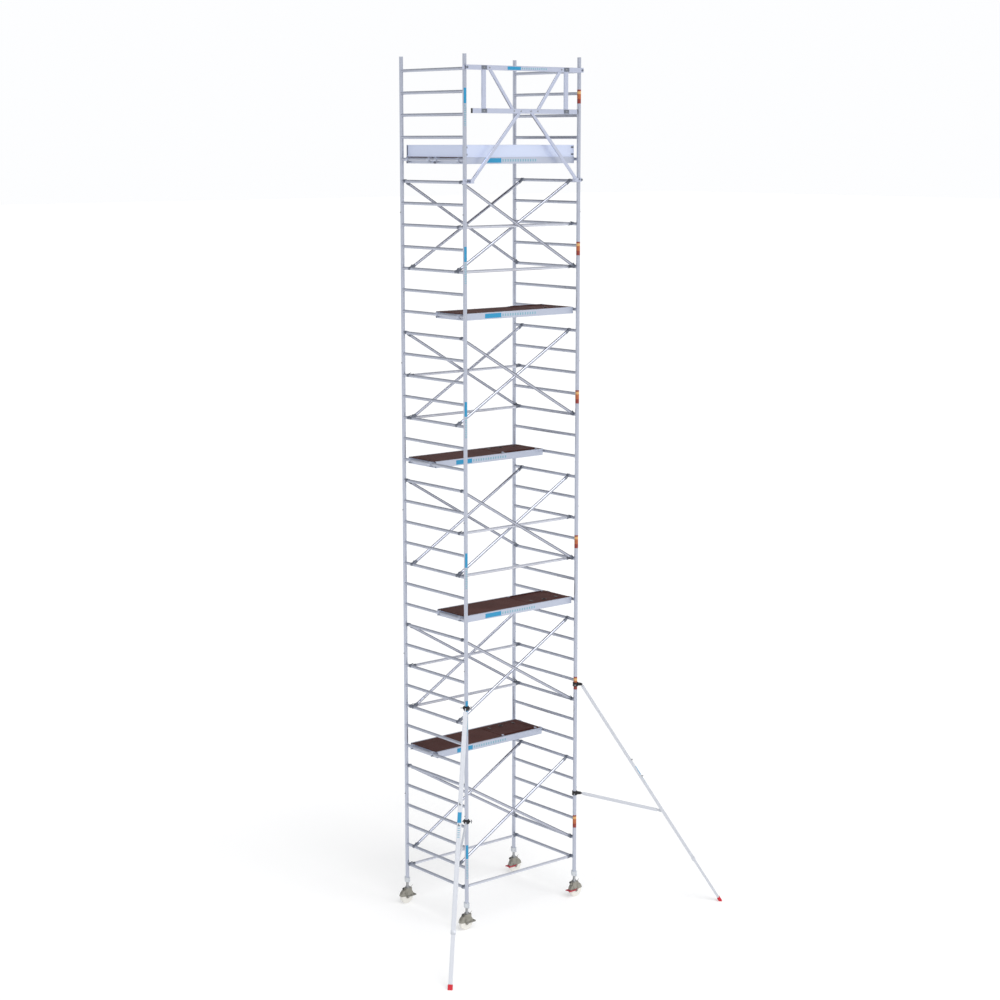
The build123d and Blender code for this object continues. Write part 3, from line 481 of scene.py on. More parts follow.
# %% Brace ends
LANE, FIRST_LANE = 0.05, 0.066
braces = []
for lift, deck in enumerate(DECK_RUNGS):
    top, bottom = deck - 1, deck - 5
    for y, inward in SIDES:
        outer, middle, inner = (y + inward * (FIRST_LANE + k * LANE) for k in range(3))
        braces.append(((left_x, outer, rung_z(top)), (right_x, outer, rung_z(bottom))))
        braces.append(((left_x, inner, rung_z(bottom)), (right_x, inner, rung_z(top))))
        if lift and (lift % 2 == 0) == (inward == 1):
            for number in (bottom, bottom + 2):
                braces.append(((left_x, middle, rung_z(number)), (right_x, middle, rung_z(number))))
for y, inward in SIDES:
    lane = y + inward * FIRST_LANE
    braces.append(((left_x, lane, rung_z(0)), (right_x, lane, rung_z(0))))
print("braces", len(braces))

# %% [markdown]
# ## Sleeves, rivets and triggers
# Each brace ends in a cast hook with a sprung latch. The casting's sleeve is pressed over the tube and
# riveted on both sides, and a small trigger on its own pin stands on top of the hook. All of it follows the
# brace's direction.

# %% Trim of the brace hooks
claw_r, neck = 0.026, 0.026
SLEEVE = [(0, 0.0185), (0.002, 0.0212), (0.03, 0.0212), (0.033, 0.0192)]
SLEEVE_RIVET = [(0, 0.0045), (0.0012, 0.0042), (0.002, 0.0025)]
TRIGGER_PIN = [(0, 0.003), (0.001, 0.005), (0.038, 0.005), (0.039, 0.003)]
sleeve_at, rivet_at, pin_at = claw_r + neck - 0.006, claw_r + neck + 0.014, 0.02
rivet_out, pin_half = 0.0205, 0.0195
trigger_long, trigger_rise = 0.038, 0.01
trigger_outline = slab_outline(0.016, 0.005)
sleeves, rivets, triggers = Pile(), Pile(), Pile()
for pair in braces:
    for start, end in (pair, pair[::-1]):
        start = np.array(start)
        w = unit(np.array(end) - start)
        sleeves.add(turned(start + w * sleeve_at, w, SLEEVE))
        for side in (-1, 1):
            head = start + w * rivet_at + SIDEWAYS * side * rivet_out
            rivets.add(turned(head, SIDEWAYS * side, SLEEVE_RIVET, 10))
        off_brace = unit(UP - w * np.dot(UP, w))
        foot = start + UP * (claw_r - 0.002)
        triggers.add(bar(foot, foot + w * trigger_long + off_brace * trigger_rise, trigger_outline, 0.003))
        triggers.add(turned(start + w * pin_at - SIDEWAYS * pin_half, SIDEWAYS, TRIGGER_PIN, 10))
sleeves.make("brace_sleeves", "tower", cast_metal, "hook_aluminium")
rivets.make("brace_rivets", "tower", clip_steel, "clip_steel")
triggers.make("hook_triggers", "tower", cast_metal, "hook_aluminium")

# %% [markdown]
# ## Blank labels on the stiles
# The frames carry stickers at reading height. Here they are blank bands of colour, with a row of plain bars
# where a strip would continue. On a tube a label is a thin shell: its outline is an outer arc followed by
# the same arc, a little further in, walked backwards.

# %% Labels on tubes
LABEL_THICK, LABEL_GAP = 0.0005, 0.00005


def arc_outline(radius, middle, spread, steps=14):
    """Outer arc then inner arc backwards, so the outline closes round the label's own thickness."""
    a = np.radians(np.linspace(middle - spread, middle + spread, steps))
    a = np.concatenate([a, a[::-1]])
    r = np.repeat([radius + LABEL_THICK, radius + LABEL_GAP], steps)
    return np.stack([r * np.cos(a), r * np.sin(a)], 1)


def wrap_label(pile, x, high, low, middle, spread):
    """A label on a near stile from low to high, spread to both sides of an angle in plan."""
    outline = arc_outline(stile_r, middle, spread)
    pile.add(loft(outline, [(x, near_y, low), (x, near_y, high)], (1, 0, 0), SIDEWAYS))


blue, pale, yellow, orange, red = (Pile() for _ in range(5))
WARM_BANDS = ((red, 0.05, 0.03), (yellow, 0.03, -0.005), (orange, -0.005, -0.07), (red, -0.07, -0.127))
BLUE_TOP, BLUE_END, FIRST_BAR, BAR_PITCH, BAR_HIGH = 0.045, -0.145, -0.165, 0.022, 0.01
for number in [2] + [7 * k + 2 for k in range(1, 6)]:
    z = rung_z(number)
    wrap_label(blue, left_x, z + BLUE_TOP, z + BLUE_END, 250, 42)
    for k in range(12):
        top = z + FIRST_BAR - BAR_PITCH * k
        wrap_label(pale, left_x, top, top - BAR_HIGH, 250, 32)
    for pile, high, low in WARM_BANDS:
        wrap_label(pile, right_x, z + high, z + low, 235, 75)
print("points in the blue labels", blue.count)

# %% [markdown]
# ## Blank labels on beams and the rail
# Each platform's near beam and the top guardrail carry a blue block and a row of pale bars. A flat label is
# a thin slab standing on the face, because a coloured patch in the material would not be there in the
# finished mesh.

# %% Labels on flat faces
DECK_TOP = 0.034  # a deck's top above its rung's centre
RAIL_OUT, RAIL_HALF = 0.046, 0.013  # the rail's axis outside the stiles' plane, and half its thickness
PLATFORMS = ("1", "2", "3", "4", "5", "5_near")
PLATE = 0.0006
bar_inset, bar_share = 0.22, 0.45


def platform_rung(name):
    """Height of the rung that a platform hangs on; the name's first figure is its level."""
    return rung_z(DECK_RUNGS[int(name[0]) - 1])


def flat_label(pile, x0, x1, y, z0, z1):
    """A thin plate on a face that looks towards -Y."""
    middle = (z0 + z1) / 2
    outline = slab_outline(PLATE, z1 - z0, PLATE / 4, 2)
    pile.add(bar((x0, y - PLATE / 2, middle), (x1, y - PLATE / 2, middle), outline))


def label_strip(x0, block, length, y, z0, z1, pitch):
    """A blue block, then a row of pale bars at a fixed pitch over the given length."""
    flat_label(blue, x0, x0 + block, y, z0, z1)
    inset = (z1 - z0) * bar_inset
    for k in range(int(length / pitch)):
        start = x0 + block + 0.02 + k * pitch
        flat_label(pale, start, start + pitch * bar_share, y, z0 + inset, z1 - inset)


for name in PLATFORMS:
    beam_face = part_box(f"platform_frame_{name}")[0].y
    beam_top = platform_rung(name) + DECK_TOP
    label_strip(left_x + 0.37, 0.27, 0.62, beam_face, beam_top - 0.072, beam_top - 0.014, 0.042)
rail_face = near_y - RAIL_OUT - RAIL_HALF
rail_z = rung_z(TOP_RUNG) + 0.015
label_strip(left_x + 0.65, 0.22, 0.44, rail_face, rail_z - 0.021, rail_z + 0.021, 0.036)
blue.make("labels_blue", "tower", label_blue, "deck_ply")
pale.make("label_bars", "tower", label_pale, "deck_ply")
yellow.make("labels_yellow", "tower", label_yellow, "deck_ply")
orange.make("labels_orange", "tower", label_orange, "deck_ply")
red.make("labels_red", "tower", label_red, "deck_ply")

# %% [markdown]
# ## Deck rivets
# The ply is riveted down to the side beams in a row along each edge. A rivet head is a low dome, so three
# stations on a lathe are enough for it.

# %% Rows of rivets
DECK_RIVET = [(0, 0.006), (0.0012, 0.0058), (0.0026, 0.0035)]
rivet_inset, rivet_end, rivets_in_row = 0.0125, 0.1, 13
deck_rivets = Pile()
for name in PLATFORMS:
    low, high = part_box(f"platform_frame_{name}")
    z = platform_rung(name) + DECK_TOP - 0.0005
    for y in (low.y + rivet_inset, high.y - rivet_inset):
        for x in np.linspace(left_x + rivet_end, right_x - rivet_end, rivets_in_row):
            deck_rivets.add(turned((x, y, z), UP, DECK_RIVET, 10))
deck_rivets.make("deck_rivets", "tower", clip_steel, "clip_steel")

# %% [markdown]
# ## Wind clips
# Under every claw a small cast clip swings below the rung, so that wind can't lift the platform off. It is
# a flat tongue on a short pivot.

# %% Clips under the claws
CLIP_PIVOT = [(0, 0.006), (0.001, 0.007), (0.011, 0.007), (0.012, 0.006)]
claw_inset, clip_drop, pivot_drop = 0.071, 0.03, 0.036
tongue = slab_outline(0.022, 0.004)
wind_clips = Pile()
for name in PLATFORMS:
    low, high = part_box(f"platform_frame_{name}")
    z = platform_rung(name)
    for x, inward in ENDS:
        for y in (low.y + claw_inset, high.y - claw_inset):
            wind_clips.add(bar((x + inward * 0.03, y, z - clip_drop), (x - inward * 0.024, y, z - clip_drop),
                               tongue, 0.003))
            wind_clips.add(turned((x + inward * 0.026, y, z - pivot_drop), UP, CLIP_PIVOT, 12))
wind_clips.make("wind_clips", "tower", cast_metal, "hook_aluminium")

# %% [markdown]
# ## Trapdoor rings and latches
# A trapdoor is lifted by a finger ring in a shallow seat and held down by two turn latches at its free
# edge. They sit on the door's own body, so they rise with it. The hinge's axis tells which edge is the free
# one.

# %% Rings and latches
RING_SEAT = [(0, 0.036), (0.0012, 0.035), (0.0018, 0.031)]
ring_r, ring_wire, ring_up = 0.022, 0.0028, 0.0045
latch_outline = slab_outline(0.03, 0.004)
HATCHES = range(1, 6)


def hatch_place(k):
    """A trapdoor's box, its top, its free edge, and the sign that leads from the hinge to that edge."""
    low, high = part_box(f"trapdoor_{k}")
    outwards = joints[f"hatch_{k}"]["axis"][0]
    return low, high, rung_z(DECK_RUNGS[k - 1]) + DECK_TOP, high.y if outwards > 0 else low.y, outwards


a = -np.arange(24) * 2 * np.pi / 24
spokes = np.stack([np.cos(a), np.sin(a), np.zeros_like(a)], 1)
for k in HATCHES:
    low, high, top, free, outwards = hatch_place(k)
    seat = np.array([(low.x + high.x) / 2, free - outwards * 0.05, top])
    fittings = Pile()
    fittings.add(turned(seat, UP, RING_SEAT, 24))
    ring_path = seat + spokes * ring_r + UP * ring_up
    fittings.add(loft(round_outline(8), ring_path, spokes, UP, ring_wire), ring=True)
    for x in (low.x + 0.09, high.x - 0.09):
        fittings.add(bar((x, free - outwards * 0.03, top + 0.002), (x, free - outwards * 0.1, top + 0.002),
                         latch_outline, 0.002, 0.92))
    fittings.make(f"hatch_fittings_{k}", f"hatch_{k}", knob_black, "coupler_black")

# %% [markdown]
# ## Trapdoor edging
# A thin strip of the same film seals the ply along the three loose edges and makes the door's outline show.

# %% Edging strips
EDGE_UP, SIDE_INSET = 0.0009, 0.012
trim = slab_outline(0.02, 0.0018, 0.0005)
for k in HATCHES:
    low, high, top, free, outwards = hatch_place(k)
    z = top + EDGE_UP
    edging = Pile()
    front = free - outwards * SIDE_INSET
    edging.add(bar((low.x + 0.004, front, z), (high.x - 0.004, front, z), trim))
    near_hinge = free - outwards * (high.y - low.y - 0.03)
    for x in (low.x + SIDE_INSET, high.x - SIDE_INSET):
        edging.add(bar((x, free - outwards * 2 * SIDE_INSET, z), (x, near_hinge, z), trim))
    edging.make(f"hatch_edging_{k}", f"hatch_{k}", hatch_film, "hatch_ply")

# %% [markdown]
# ## Castors
# A castor is a swivelling fork with a wheel and a brake pedal, bolted under the leg. Its trim is made kind
# by kind below, from the corner's place and heights above the floor. Each piece goes to the body that
# carries it, so that wheels spin and forks swivel with their trim.

# %% Where a castor is
TRAIL, WHEEL_R = 0.018, 0.1


def castor_place(corner):
    """The swivel's x and y, the sign of inward along X, and the middle of the axle."""
    x, y = corner_xy[corner]
    inward = 1 if x < 0 else -1
    return x, y, inward, np.array([x - inward * TRAIL, y, WHEEL_R])


print("axle of", CORNERS[0], castor_place(CORNERS[0])[3].round(3))

# %% [markdown]
# ### Race, plate bolts and axle nuts
# A flat ball race lies on the fork's top plate between four hexagon bolts, and the axle ends in hexagon
# nuts. A hexagon is a lathe shape with six sides.

# %% Castor bolts
RACE = [(0, 0.0345), (0.0008, 0.0365), (0.0062, 0.0365), (0.007, 0.0345)]
PLATE_BOLT = [(0, 0.007), (0.004, 0.007), (0.005, 0.006)]
AXLE_NUT = [(0, 0.0085), (0.0035, 0.0085), (0.0045, 0.007)]
race_z, plate_z = 0.2165, 0.2155
bolt_x, bolt_y, nut_y = 0.042, 0.024, 0.0445
for corner in CORNERS:
    x, y, inward, axle = castor_place(corner)
    bolts = Pile()
    bolts.add(turned((x, y, race_z), UP, RACE, 32))
    for bx in (-bolt_x, bolt_x):
        for by in (-bolt_y, bolt_y):
            bolts.add(turned((x + bx, y + by, plate_z), UP, PLATE_BOLT, 6))
    for side in (-1, 1):
        bolts.add(turned(axle + SIDEWAYS * side * nut_y, SIDEWAYS * side, AXLE_NUT, 6))
    bolts.make(f"castor_bolts_{corner}", f"castor_{corner}", clip_steel, "fork_zinc")

# %% [markdown]
# ### Pressed ribs on the fork
# The fork's cheeks are pressed sheet, stiffened by a rib under the top plate and two that slant down to the
# axle. A thicker pad below the knob carries the brake.

# %% Fork ribs
cheek_y = 0.0341
top_rib, slanted_rib = slab_outline(0.0016, 0.01, 0.0005), slab_outline(0.0016, 0.008, 0.0005)
brake_pad = slab_outline(0.05, 0.04, 0.006)
for corner in CORNERS:
    x, y, inward, axle = castor_place(corner)
    ribs = Pile()
    for side in (-1, 1):
        face = y + side * cheek_y
        ribs.add(bar((x - 0.046, face, 0.205), (x + 0.046, face, 0.205), top_rib, 0.002))
        for lean in (-1, 1):
            ribs.add(bar((x + lean * 0.03, face, 0.192), (axle[0] + lean * 0.012, face, 0.125), slanted_rib))
    ribs.add(bar((x - 0.052, y, 0.196), (x - 0.058, y, 0.196), brake_pad, 0.001, 0.95))
    ribs.make(f"fork_ribs_{corner}", f"castor_{corner}", fork_zinc, "fork_zinc")

# %% [markdown]
# ### Wheel guard
# A sheet guard covers the wheel's upper half: a rim that bends round it and a half disc on each side. All
# three are a flat outline carried round a half circle about the axle.

# %% Guard over the wheel
around = np.radians(np.linspace(6, 174, 29))[:, None]
rays = np.concatenate([np.cos(around), np.zeros_like(around), np.sin(around)], 1)
rim_r, disc_mid_r, disc_y = 0.103, 0.067, 0.027
rim_outline, disc_outline = slab_outline(0.0022, 0.056, 0.0006), slab_outline(0.0724, 0.0022, 0.0006)
for corner in CORNERS:
    x, y, inward, axle = castor_place(corner)
    guard = Pile()
    for side in (-1, 1):
        guard.add(loft(disc_outline, axle + SIDEWAYS * side * disc_y + rays * disc_mid_r, rays, SIDEWAYS))
    guard.add(loft(rim_outline, axle + rays * rim_r, rays, SIDEWAYS))
    guard.make(f"wheel_guard_{corner}", f"castor_{corner}", fork_zinc, "fork_zinc")

# %% [markdown]
# ### Release lever and knob
# A thin bent rod sticks up from one side of the fork, and a black ball knob on a short stem from the other.
# The rod is a round outline along four points, thinner at its tip, and the knob is turned.

# %% Levers and knobs
LEVER_PATH = np.array([(0.03, 0, 0.2), (0.055, 0, 0.207), (0.074, 0, 0.224), (0.088, 0, 0.238)])
lever_radii = [0.004, 0.004, 0.0036, 0.002]
KNOB = [(0, 0.005), (0.012, 0.005), (0.013, 0.011), (0.018, 0.0135), (0.026, 0.0135), (0.031, 0.01),
        (0.033, 0.004)]
knob_x, knob_z = 0.052, 0.213
for corner in CORNERS:
    x, y, inward, axle = castor_place(corner)
    lever, knob = Pile(), Pile()
    lever.add(loft(round_outline(10), LEVER_PATH + [x, y, 0], SIDEWAYS, unit((-0.3, 0, 1)), lever_radii))
    lever.make(f"release_lever_{corner}", f"castor_{corner}", fork_zinc, "fork_zinc")
    knob.add(turned((x - knob_x, y, knob_z), (-1, 0, 0), KNOB))
    knob.make(f"brake_knob_{corner}", f"castor_{corner}", knob_black, "coupler_black")

# %% [markdown]
# ### Wheel ribs
# A moulded wheel has eight ribs between hub and rim on each side, and a shallow raised disc outside them.

# %% Ribs and discs on the wheels
RIM_DISC = [(0, 0.0845), (0.0008, 0.084), (0.0012, 0.082)]
wheel_rib = slab_outline(0.005, 0.005)
rib_y, rim_disc_y, rib_inner, rib_outer = 0.0165, 0.0238, 0.029, 0.073
for corner in CORNERS:
    x, y, inward, axle = castor_place(corner)
    ribs = Pile()
    for side in (-1, 1):
        face = axle + SIDEWAYS * side * rib_y
        for k in range(8):
            ray = np.array([math.cos(k * math.pi / 4), 0, math.sin(k * math.pi / 4)])
            ribs.add(bar(face + ray * rib_inner, face + ray * rib_outer, wheel_rib, up=SIDEWAYS))
        ribs.add(turned(axle + SIDEWAYS * side * rim_disc_y, SIDEWAYS * side, RIM_DISC, 40))
    ribs.make(f"wheel_ribs_{corner}", f"wheel_{corner}", wheel_nylon, "wheel_nylon")

# %% [markdown]
# ### Pedal grips
# Four low bars across a pedal's tip keep a wet boot from slipping. Pedals on the right are red, on the left
# grey.

# %% Grip bars
grip_outline = slab_outline(0.004, 0.002, 0.0006)
grip_z, grip_half, grip_pitch, grip_inset = 0.1095, 0.032, 0.008, 0.005
for corner in CORNERS:
    x, y, inward, axle = castor_place(corner)
    pad_low, pad_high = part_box(f"brake_pedal_{corner}")
    tip = pad_high.x if inward > 0 else pad_low.x
    grips = Pile()
    for k in range(4):
        gx = tip - inward * (grip_inset + grip_pitch * k)
        grips.add(bar((gx, y - grip_half, grip_z), (gx, y + grip_half, grip_z), grip_outline))
    colour, slot = (pedal_red, "pedal_red") if "right" in corner else (pedal_grey, "pedal_grey")
    grips.make(f"pedal_grips_{corner}", f"pedal_{corner}", colour, slot)

# %% [markdown]
# ### Grip of the adjusting nut
# The nut is turned by hand: two collars close its ends, and sixteen small round ribs stand between them.

# %% Collars and ribs of the nuts
COLLAR = [(0, 0.0365), (0.0015, 0.0385), (0.0065, 0.0385), (0.008, 0.0365)]
collar_gap, rib_gap = 0.001, 0.012
collar_high = COLLAR[-1][0]
nut_rib_r, nut_rib_out, NUT_RIBS = 0.0022, 0.0362, 16
for corner in CORNERS:
    x, y, inward, axle = castor_place(corner)
    low, high = (point.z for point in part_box(f"leg_nut_{corner}"))
    grip = Pile()
    for z in (high - collar_gap - collar_high, low + collar_gap):
        grip.add(turned((x, y, z), UP, COLLAR, 32))
    for k in range(NUT_RIBS):
        t = (k + 0.5) * 2 * math.pi / NUT_RIBS
        foot = np.array([math.cos(t), math.sin(t), 0]) * nut_rib_out + [x, y, 0]
        grip.add(bar(foot + UP * (low + rib_gap), foot + UP * (high - rib_gap), round_outline(8) * nut_rib_r))
    grip.make(f"nut_grip_{corner}", f"nut_{corner}", nut_nylon, "nut_nylon")

# %% [markdown]
# ## Stabilisers
# A stabiliser is drawn in its own upright plane, turned about the stile: out leads level away from the
# stile, down runs along the leg, level lies across the plane, and face points up and out from the leg's
# upper side. Its trim is then placed by a share of the leg's length.

# %% A stabiliser's own directions
PIVOT_OUT, STAB_REACH, STAB_TOP, ARM_Z = 0.08, 2.02, 3.03, 1.49
leg_run = STAB_REACH - PIVOT_OUT


class Rake:
    """One stabiliser's directions, and the points on its leg."""

    def __init__(self, side, x, turn):
        self.side = side
        self.out = np.array([math.cos(math.radians(turn)), math.sin(math.radians(turn)), 0])
        self.level = np.cross(UP, self.out)
        self.base = np.array([x, near_y, 0])
        self.down = unit(self.out * leg_run - UP * STAB_TOP)
        self.face = unit(np.cross(self.down, self.level))

    def at(self, share):
        """A point on the leg's axis at a share of its length, 0 at the pivot and 1 at the foot."""
        return self.base + self.out * (PIVOT_OUT + leg_run * share) + UP * STAB_TOP * (1 - share)


RAKES = (Rake("left", left_x, 225.0), Rake("right", right_x, 315.0))
print("leg length", round(math.hypot(leg_run, STAB_TOP), 3))

# %% [markdown]
# ### Clamps with swing bolts and wing nuts
# Two cast clamps grip the stile. Each has a raised band at both ends, a boss on each side, and a swing bolt
# through the bosses, tightened by a wing nut.

# %% Clamp bosses, bolts and wing nuts
BAND = [(0, 0.036), (0.001, 0.0375), (0.006, 0.0375), (0.007, 0.036)]
SWING_BOLT = [(0, 0.005), (0.02, 0.005), (0.022, 0.009), (0.03, 0.009), (0.032, 0.006)]
boss_outline, wing_outline = slab_outline(0.02, 0.026, 0.003), slab_outline(0.006, 0.012, 0.002)
boss_level, boss_half, wing_level, wing_half = 0.034, 0.014, 0.064, 0.026
for rake in RAKES:
    clamps, screws = Pile(), Pile()
    for z in (STAB_TOP, ARM_Z):
        hub = rake.base + UP * z
        for s in (-1, 1):
            boss = hub + rake.level * s * boss_level
            middle = boss - rake.out * 0.004
            clamps.add(bar(middle - UP * boss_half, middle + UP * boss_half, boss_outline, 0.002))
            screws.add(turned(boss + rake.level * s * 0.008, rake.level * s, SWING_BOLT, 12))
        wing = hub + rake.level * wing_level
        screws.add(bar(wing - UP * wing_half, wing + UP * wing_half, wing_outline, 0.004, 0.7))
        for lift in (-0.0265, 0.0195):
            clamps.add(turned(hub + UP * lift, UP, BAND, 32))
    clamps.make(f"coupler_bosses_{rake.side}", f"stabiliser_{rake.side}", coupler_black, "coupler_black")
    screws.make(f"wing_nuts_{rake.side}", f"stabiliser_{rake.side}", clip_steel, "clip_steel")

# %% [markdown]
# ### Lock pins and the outer leg's end
# Two spring pins lock the telescoping leg, each a plate with a turned button, and a sleeve closes the outer
# leg where the inner one comes out.

# %% Pins and sleeves
LOCK_BUTTON = [(0, 0.006), (0.014, 0.006), (0.015, 0.01), (0.019, 0.01), (0.02, 0.008)]
pin_shares, pin_off, sleeve_share = (0.35, 0.425), 0.017, 0.81
pin_plate, sleeve_outline = slab_outline(0.026, 0.008, 0.002), slab_outline(0.066, 0.042, 0.004)
SLEEVE_DOWN = np.array([-0.045, -0.043, -0.001, 0.002])[:, None]
for rake in RAKES:
    pins, sleeve = Pile(), Pile()
    for share in pin_shares:
        spot = rake.at(share) + rake.face * pin_off
        pins.add(bar(spot - rake.down * 0.016, spot + rake.down * 0.016, pin_plate, 0.002))
        pins.add(turned(spot, rake.face, LOCK_BUTTON, 14))
    u, v = across(rake.down)
    stations = rake.at(sleeve_share) + SLEEVE_DOWN * rake.down
    sleeve.add(loft(sleeve_outline, stations, u, v, [0.95, 1, 1, 0.93]))
    pins.make(f"lock_pins_{rake.side}", f"stabiliser_{rake.side}", clip_steel, "clip_steel")
    sleeve.make(f"leg_sleeve_{rake.side}", f"stabiliser_{rake.side}", stab_metal, "stabiliser_aluminium")

# %% [markdown]
# ### Labels and ribs along the leg
# The leg carries the same blank label and bars on its upper and lower face, and the extrusion has two fine
# ribs on each of them, which stop where the lock pins and labels are.

# %% Leg labels and extruded ribs
LABEL_OFF, RIB_OFF, rib_level = 0.0173, 0.0174, 0.016
block_outline, strip_outline = slab_outline(0.05, 0.0008, 0.0002, 2), slab_outline(0.03, 0.0008, 0.0002, 2)
rib_outline = slab_outline(0.003, 0.0016, 0.0004)
for rake in RAKES:
    sticker, strip, ribs = Pile(), Pile(), Pile()
    for facing in (-1, 1):
        off = rake.face * facing * LABEL_OFF
        sticker.add(bar(rake.at(0.38) + off, rake.at(0.418) + off, block_outline))
        for k in range(6):
            share = 0.428 + 0.008 * k
            strip.add(bar(rake.at(share) + off, rake.at(share + 0.003) + off, strip_outline))
        for level in (-rib_level, rib_level):
            shift = rake.face * facing * RIB_OFF + rake.level * level
            for first, last in ((0.03, 0.34), (0.47, 0.79)):
                ribs.add(bar(rake.at(first) + shift, rake.at(last) + shift, rib_outline))
    sticker.make(f"leg_label_{rake.side}", f"stabiliser_{rake.side}", label_blue, "stabiliser_aluminium")
    strip.make(f"leg_label_bars_{rake.side}", f"stabiliser_{rake.side}", label_pale, "stabiliser_aluminium")
    ribs.make(f"leg_ribs_{rake.side}", f"stabiliser_{rake.side}", stab_metal, "stabiliser_aluminium")

# %% [markdown]
# ### Ribs of the rubber foot
# The moulded foot has three shallow ribs round it. It belongs to the inner leg's body, so they extend with
# it.

# %% Foot ribs
TREAD_RISE = np.array([0, 0.001, 0.004, 0.005])[:, None]
tread_outline = slab_outline(0.0625, 0.0385, 0.004)
for rake in RAKES:
    u, v = across(-rake.down)
    treads = Pile()
    for k in range(3):
        start = rake.at(1) - rake.down * (0.03 + 0.01 * k)
        treads.add(loft(tread_outline, start - rake.down * TREAD_RISE, u, v, [0.96, 1, 1, 0.96]))
    treads.make(f"foot_ribs_{rake.side}", f"stabiliser_tube_{rake.side}", foot_rubber, "foot_rubber")

# %% [markdown]
# ## Guardrail fittings
# The guardrail's posts and struts are bolted through its rails, and the knee rail is closed by black end
# caps. The places are measured from each end towards the middle, so both ends share one list.

# %% Guardrail bolts and caps
RAIL_BOLT = [(0, 0.011), (0.005, 0.011), (0.007, 0.009)]
knee_z = rail_z - 0.53
post_x = 0.27
BOLT_SPOTS = ((0.357, rail_z), (0.76, knee_z), (0.875, knee_z), (post_x, rail_z), (post_x, knee_z))
rail_y = near_y - RAIL_OUT
bolts, caps = Pile(), Pile()
for x, inward in ENDS:
    for bx, bz in BOLT_SPOTS:
        bolts.add(turned((x + inward * bx, rail_face, bz), -SIDEWAYS, RAIL_BOLT, 6))
    end_x = x + inward * 0.082
    caps.add(bar((end_x, rail_y, knee_z), (end_x - inward * 0.008, rail_y, knee_z),
                 slab_outline(0.028, 0.062, 0.003), 0.001, 0.97))
bolts.make("guard_bolts", "tower", clip_steel, "clip_steel")
caps.make("rail_end_caps", "tower", knob_black, "coupler_black")

# %% [markdown]
# ### Locking levers and post plates
# A lever on a round disc locks the frame to each stile at the top rail and lower down, and a thin plate
# spreads the post's bolts on the rail.

# %% Guardrail levers and post plates
LOCK_DISC = [(0, 0.016), (0.004, 0.016), (0.006, 0.013)]
lever_outline, plate_outline = slab_outline(0.006, 0.022, 0.002), slab_outline(0.002, 0.05, 0.0006)
plate_y, plate_half = rail_face - 0.001, 0.045
levers = Pile()
for x, inward in ENDS:
    for z in (rail_z, rung_z(33) + 0.015):
        levers.add(bar((x + inward * 0.012, near_y - 0.034, z + 0.012),
                       (x + inward * 0.07, near_y - 0.03, z - 0.008), lever_outline, 0.004))
        levers.add(turned((x - inward * 0.004, near_y - 0.06, z), -SIDEWAYS, LOCK_DISC, 16))
    for z in (rail_z, knee_z):
        levers.add(bar((x + inward * (post_x - plate_half), plate_y, z),
                       (x + inward * (post_x + plate_half), plate_y, z), plate_outline))
levers.make("guard_levers", "tower", cast_metal, "guard_aluminium")

# %% [markdown]
# ## Toe board fittings
# Folded brackets hold the four toe boards together at the corners, and each long board has a fine rib near
# its top and bottom edge that stiffens it.

# %% Toe board brackets and ribs
toe_low, toe_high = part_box("toe_boards")
finger_outline, post_outline = slab_outline(0.003, 0.024, 0.0008), slab_outline(0.024, 0.003, 0.0008)
rib_outline = slab_outline(0.0016, 0.004, 0.0005)
FINGER_EDGE, RIB_EDGE, bracket_sunk = 0.03, 0.02, 0.0008
brackets, ribs = Pile(), Pile()
for y, towards in ((toe_low.y, 1), (toe_high.y, -1)):
    for x, inward in ((toe_low.x, 1), (toe_high.x, -1)):
        finger_y = y + towards * bracket_sunk
        finger_x, finger_end = x + inward * 0.004, x + inward * 0.05
        for z in (toe_low.z + FINGER_EDGE, toe_high.z - FINGER_EDGE):
            brackets.add(bar((finger_x, finger_y, z), (finger_end, finger_y, z), finger_outline))
        post = np.array([x + inward * bracket_sunk, y + towards * 0.02, 0])
        foot, head = post + UP * (toe_low.z + RIB_EDGE), post + UP * (toe_high.z - RIB_EDGE)
        brackets.add(bar(foot, head, post_outline))
    rib_y = y - towards * 0.0006
    for z in (toe_low.z + RIB_EDGE, toe_high.z - RIB_EDGE):
        ribs.add(bar((toe_low.x + 0.05, rib_y, z), (toe_high.x - 0.05, rib_y, z), rib_outline))
brackets.make("toe_brackets", "tower", cast_metal, "board_aluminium")
ribs.make("toe_ribs", "tower", board_metal, "board_aluminium")

# %% [markdown]
# ## Floor
# A wide pale floor carries the tower and takes its soft shadow. A little light of its own keeps the floor
# white up to the horizon, where it meets a white sky, so the two read as one studio sweep.

# %% Studio floor
FLOOR_REACH, FLOOR_DROP = 300.0, 0.0005
floor_paint = bpy.data.materials.new("studio_floor")
floor_paint.use_nodes = True
paint = floor_paint.node_tree.nodes["Principled BSDF"]
paint.inputs["Base Color"].default_value = (0.64, 0.64, 0.64, 1)
paint.inputs["Emission Color"].default_value = (1, 1, 1, 1)
paint.inputs["Emission Strength"].default_value = 0.38
paint.inputs["Roughness"].default_value = 0.9
paint.inputs["Specular IOR Level"].default_value = 0.1
floor_mesh = bpy.data.meshes.new("studio_floor")
square = np.array([(-1, -1), (1, -1), (1, 1), (-1, 1)], float) * FLOOR_REACH
floor_mesh.from_pydata([(*c, -FLOOR_DROP) for c in square.tolist()], [], [(0, 1, 2, 3)])
floor_mesh.materials.append(floor_paint)
floor = bpy.data.objects.new("studio_floor", floor_mesh)
bpy.context.scene.collection.objects.link(floor)
print("floor reaches", FLOOR_REACH)

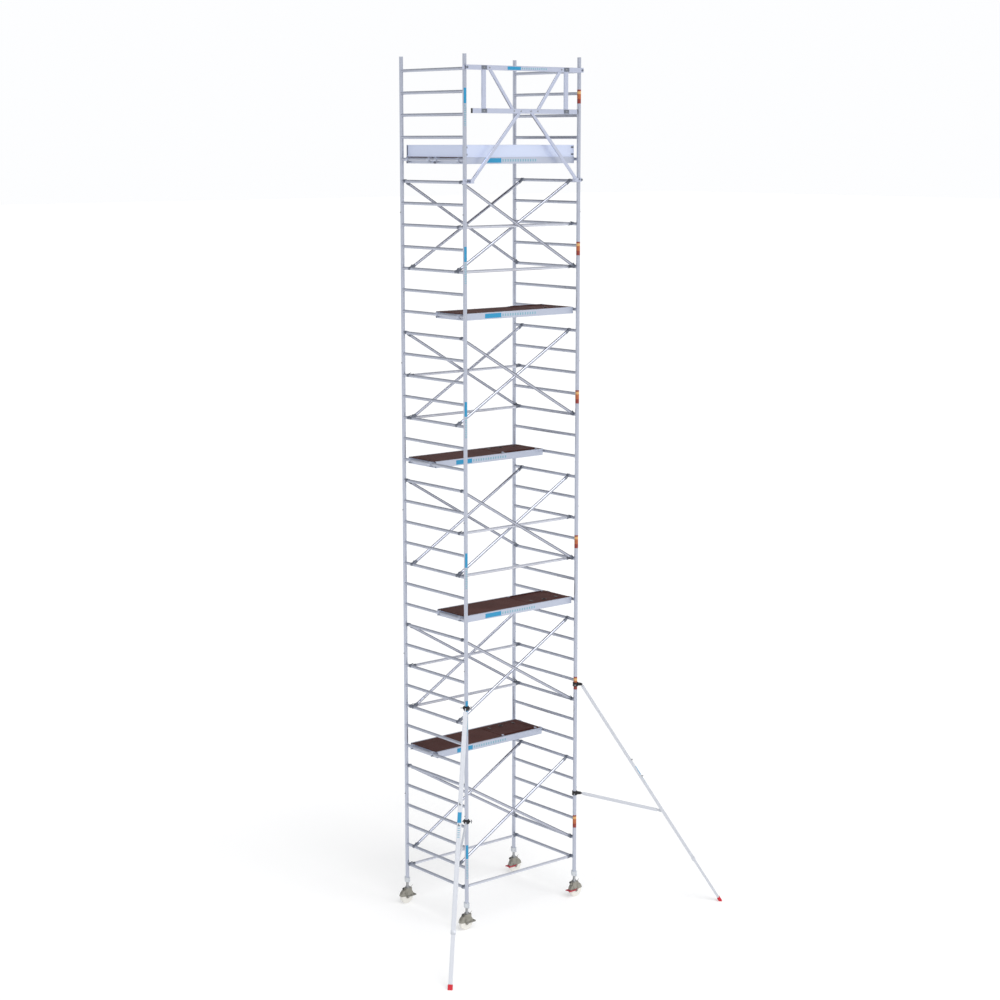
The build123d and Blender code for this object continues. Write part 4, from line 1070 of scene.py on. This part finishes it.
# %% [markdown]
# ## Sky
# The sky is white at the horizon and darker higher up, because bright metal only looks like metal when it
# has something dark to reflect. The ramp's places are the height of the view direction, 0 at the horizon
# and 1 straight up.

# %% Sky
SKY = ((0.0, 1.0), (0.09, 1.0), (0.2, 0.26), (0.55, 0.32), (0.8, 0.8), (1.0, 1.15))
world = bpy.data.worlds.new("studio_sky")
bpy.context.scene.world = world
world.use_nodes = True
tree = world.node_tree
where = tree.nodes.new("ShaderNodeTexCoord")
split = tree.nodes.new("ShaderNodeSeparateXYZ")
ramp = tree.nodes.new("ShaderNodeValToRGB")
while len(ramp.color_ramp.elements) < len(SKY):
    ramp.color_ramp.elements.new(0.5)
for element, (place, value) in zip(ramp.color_ramp.elements, SKY):
    element.position = place
    element.color = (0.985 * value, 0.99 * value, value, 1)
tree.links.new(where.outputs["Generated"], split.inputs[0])
tree.links.new(split.outputs["Z"], ramp.inputs["Fac"])
tree.links.new(ramp.outputs["Color"], tree.nodes["Background"].inputs["Color"])
print("sky steps", len(SKY))

# %% [markdown]
# ## Sun
# One big soft sun stands high in front of the tower. It draws the light side of each tube, and its wide
# spread leaves only a faint shadow behind the castors.

# %% Sun
SUN_STRENGTH, SUN_SPREAD = 1.75, math.radians(50)
sun_way = Vector((0.05, 0.85, -1.0))
sun = bpy.data.lights.new("key", "SUN")
sun.energy = SUN_STRENGTH
sun.angle = SUN_SPREAD
key = bpy.data.objects.new("key", sun)
key.rotation_euler = sun_way.to_track_quat("-Z", "Y").to_euler()
bpy.context.scene.collection.objects.link(key)
print("sun shines along", [round(v, 2) for v in sun_way.normalized()])

# %% [markdown]
# ## Camera
# A tower this tall needs distance: a long lens nearly 27 m away, raised a little above the top platform and
# tilted a little down, keeps the uprights close to parallel. The lower decks show their tops.

# %% Camera
yaw, pitch = -0.6986, 0.1699
lens = bpy.data.cameras.new("camera")
lens.sensor_width = 36.0
lens.lens = 75.15
lens.clip_start, lens.clip_end = 0.1, 1000
camera = bpy.data.objects.new("camera", lens)
camera.location = (-17.5798, near_y - 20.4756, 10.307)
look = Vector((-math.sin(yaw) * math.cos(pitch), math.cos(yaw) * math.cos(pitch), -math.sin(pitch)))
camera.rotation_euler = look.to_track_quat("-Z", "Y").to_euler()
bpy.context.scene.collection.objects.link(camera)
bpy.context.scene.camera = camera
bpy.context.scene.view_settings.view_transform = "Standard"
print("camera looks along", [round(v, 3) for v in look])
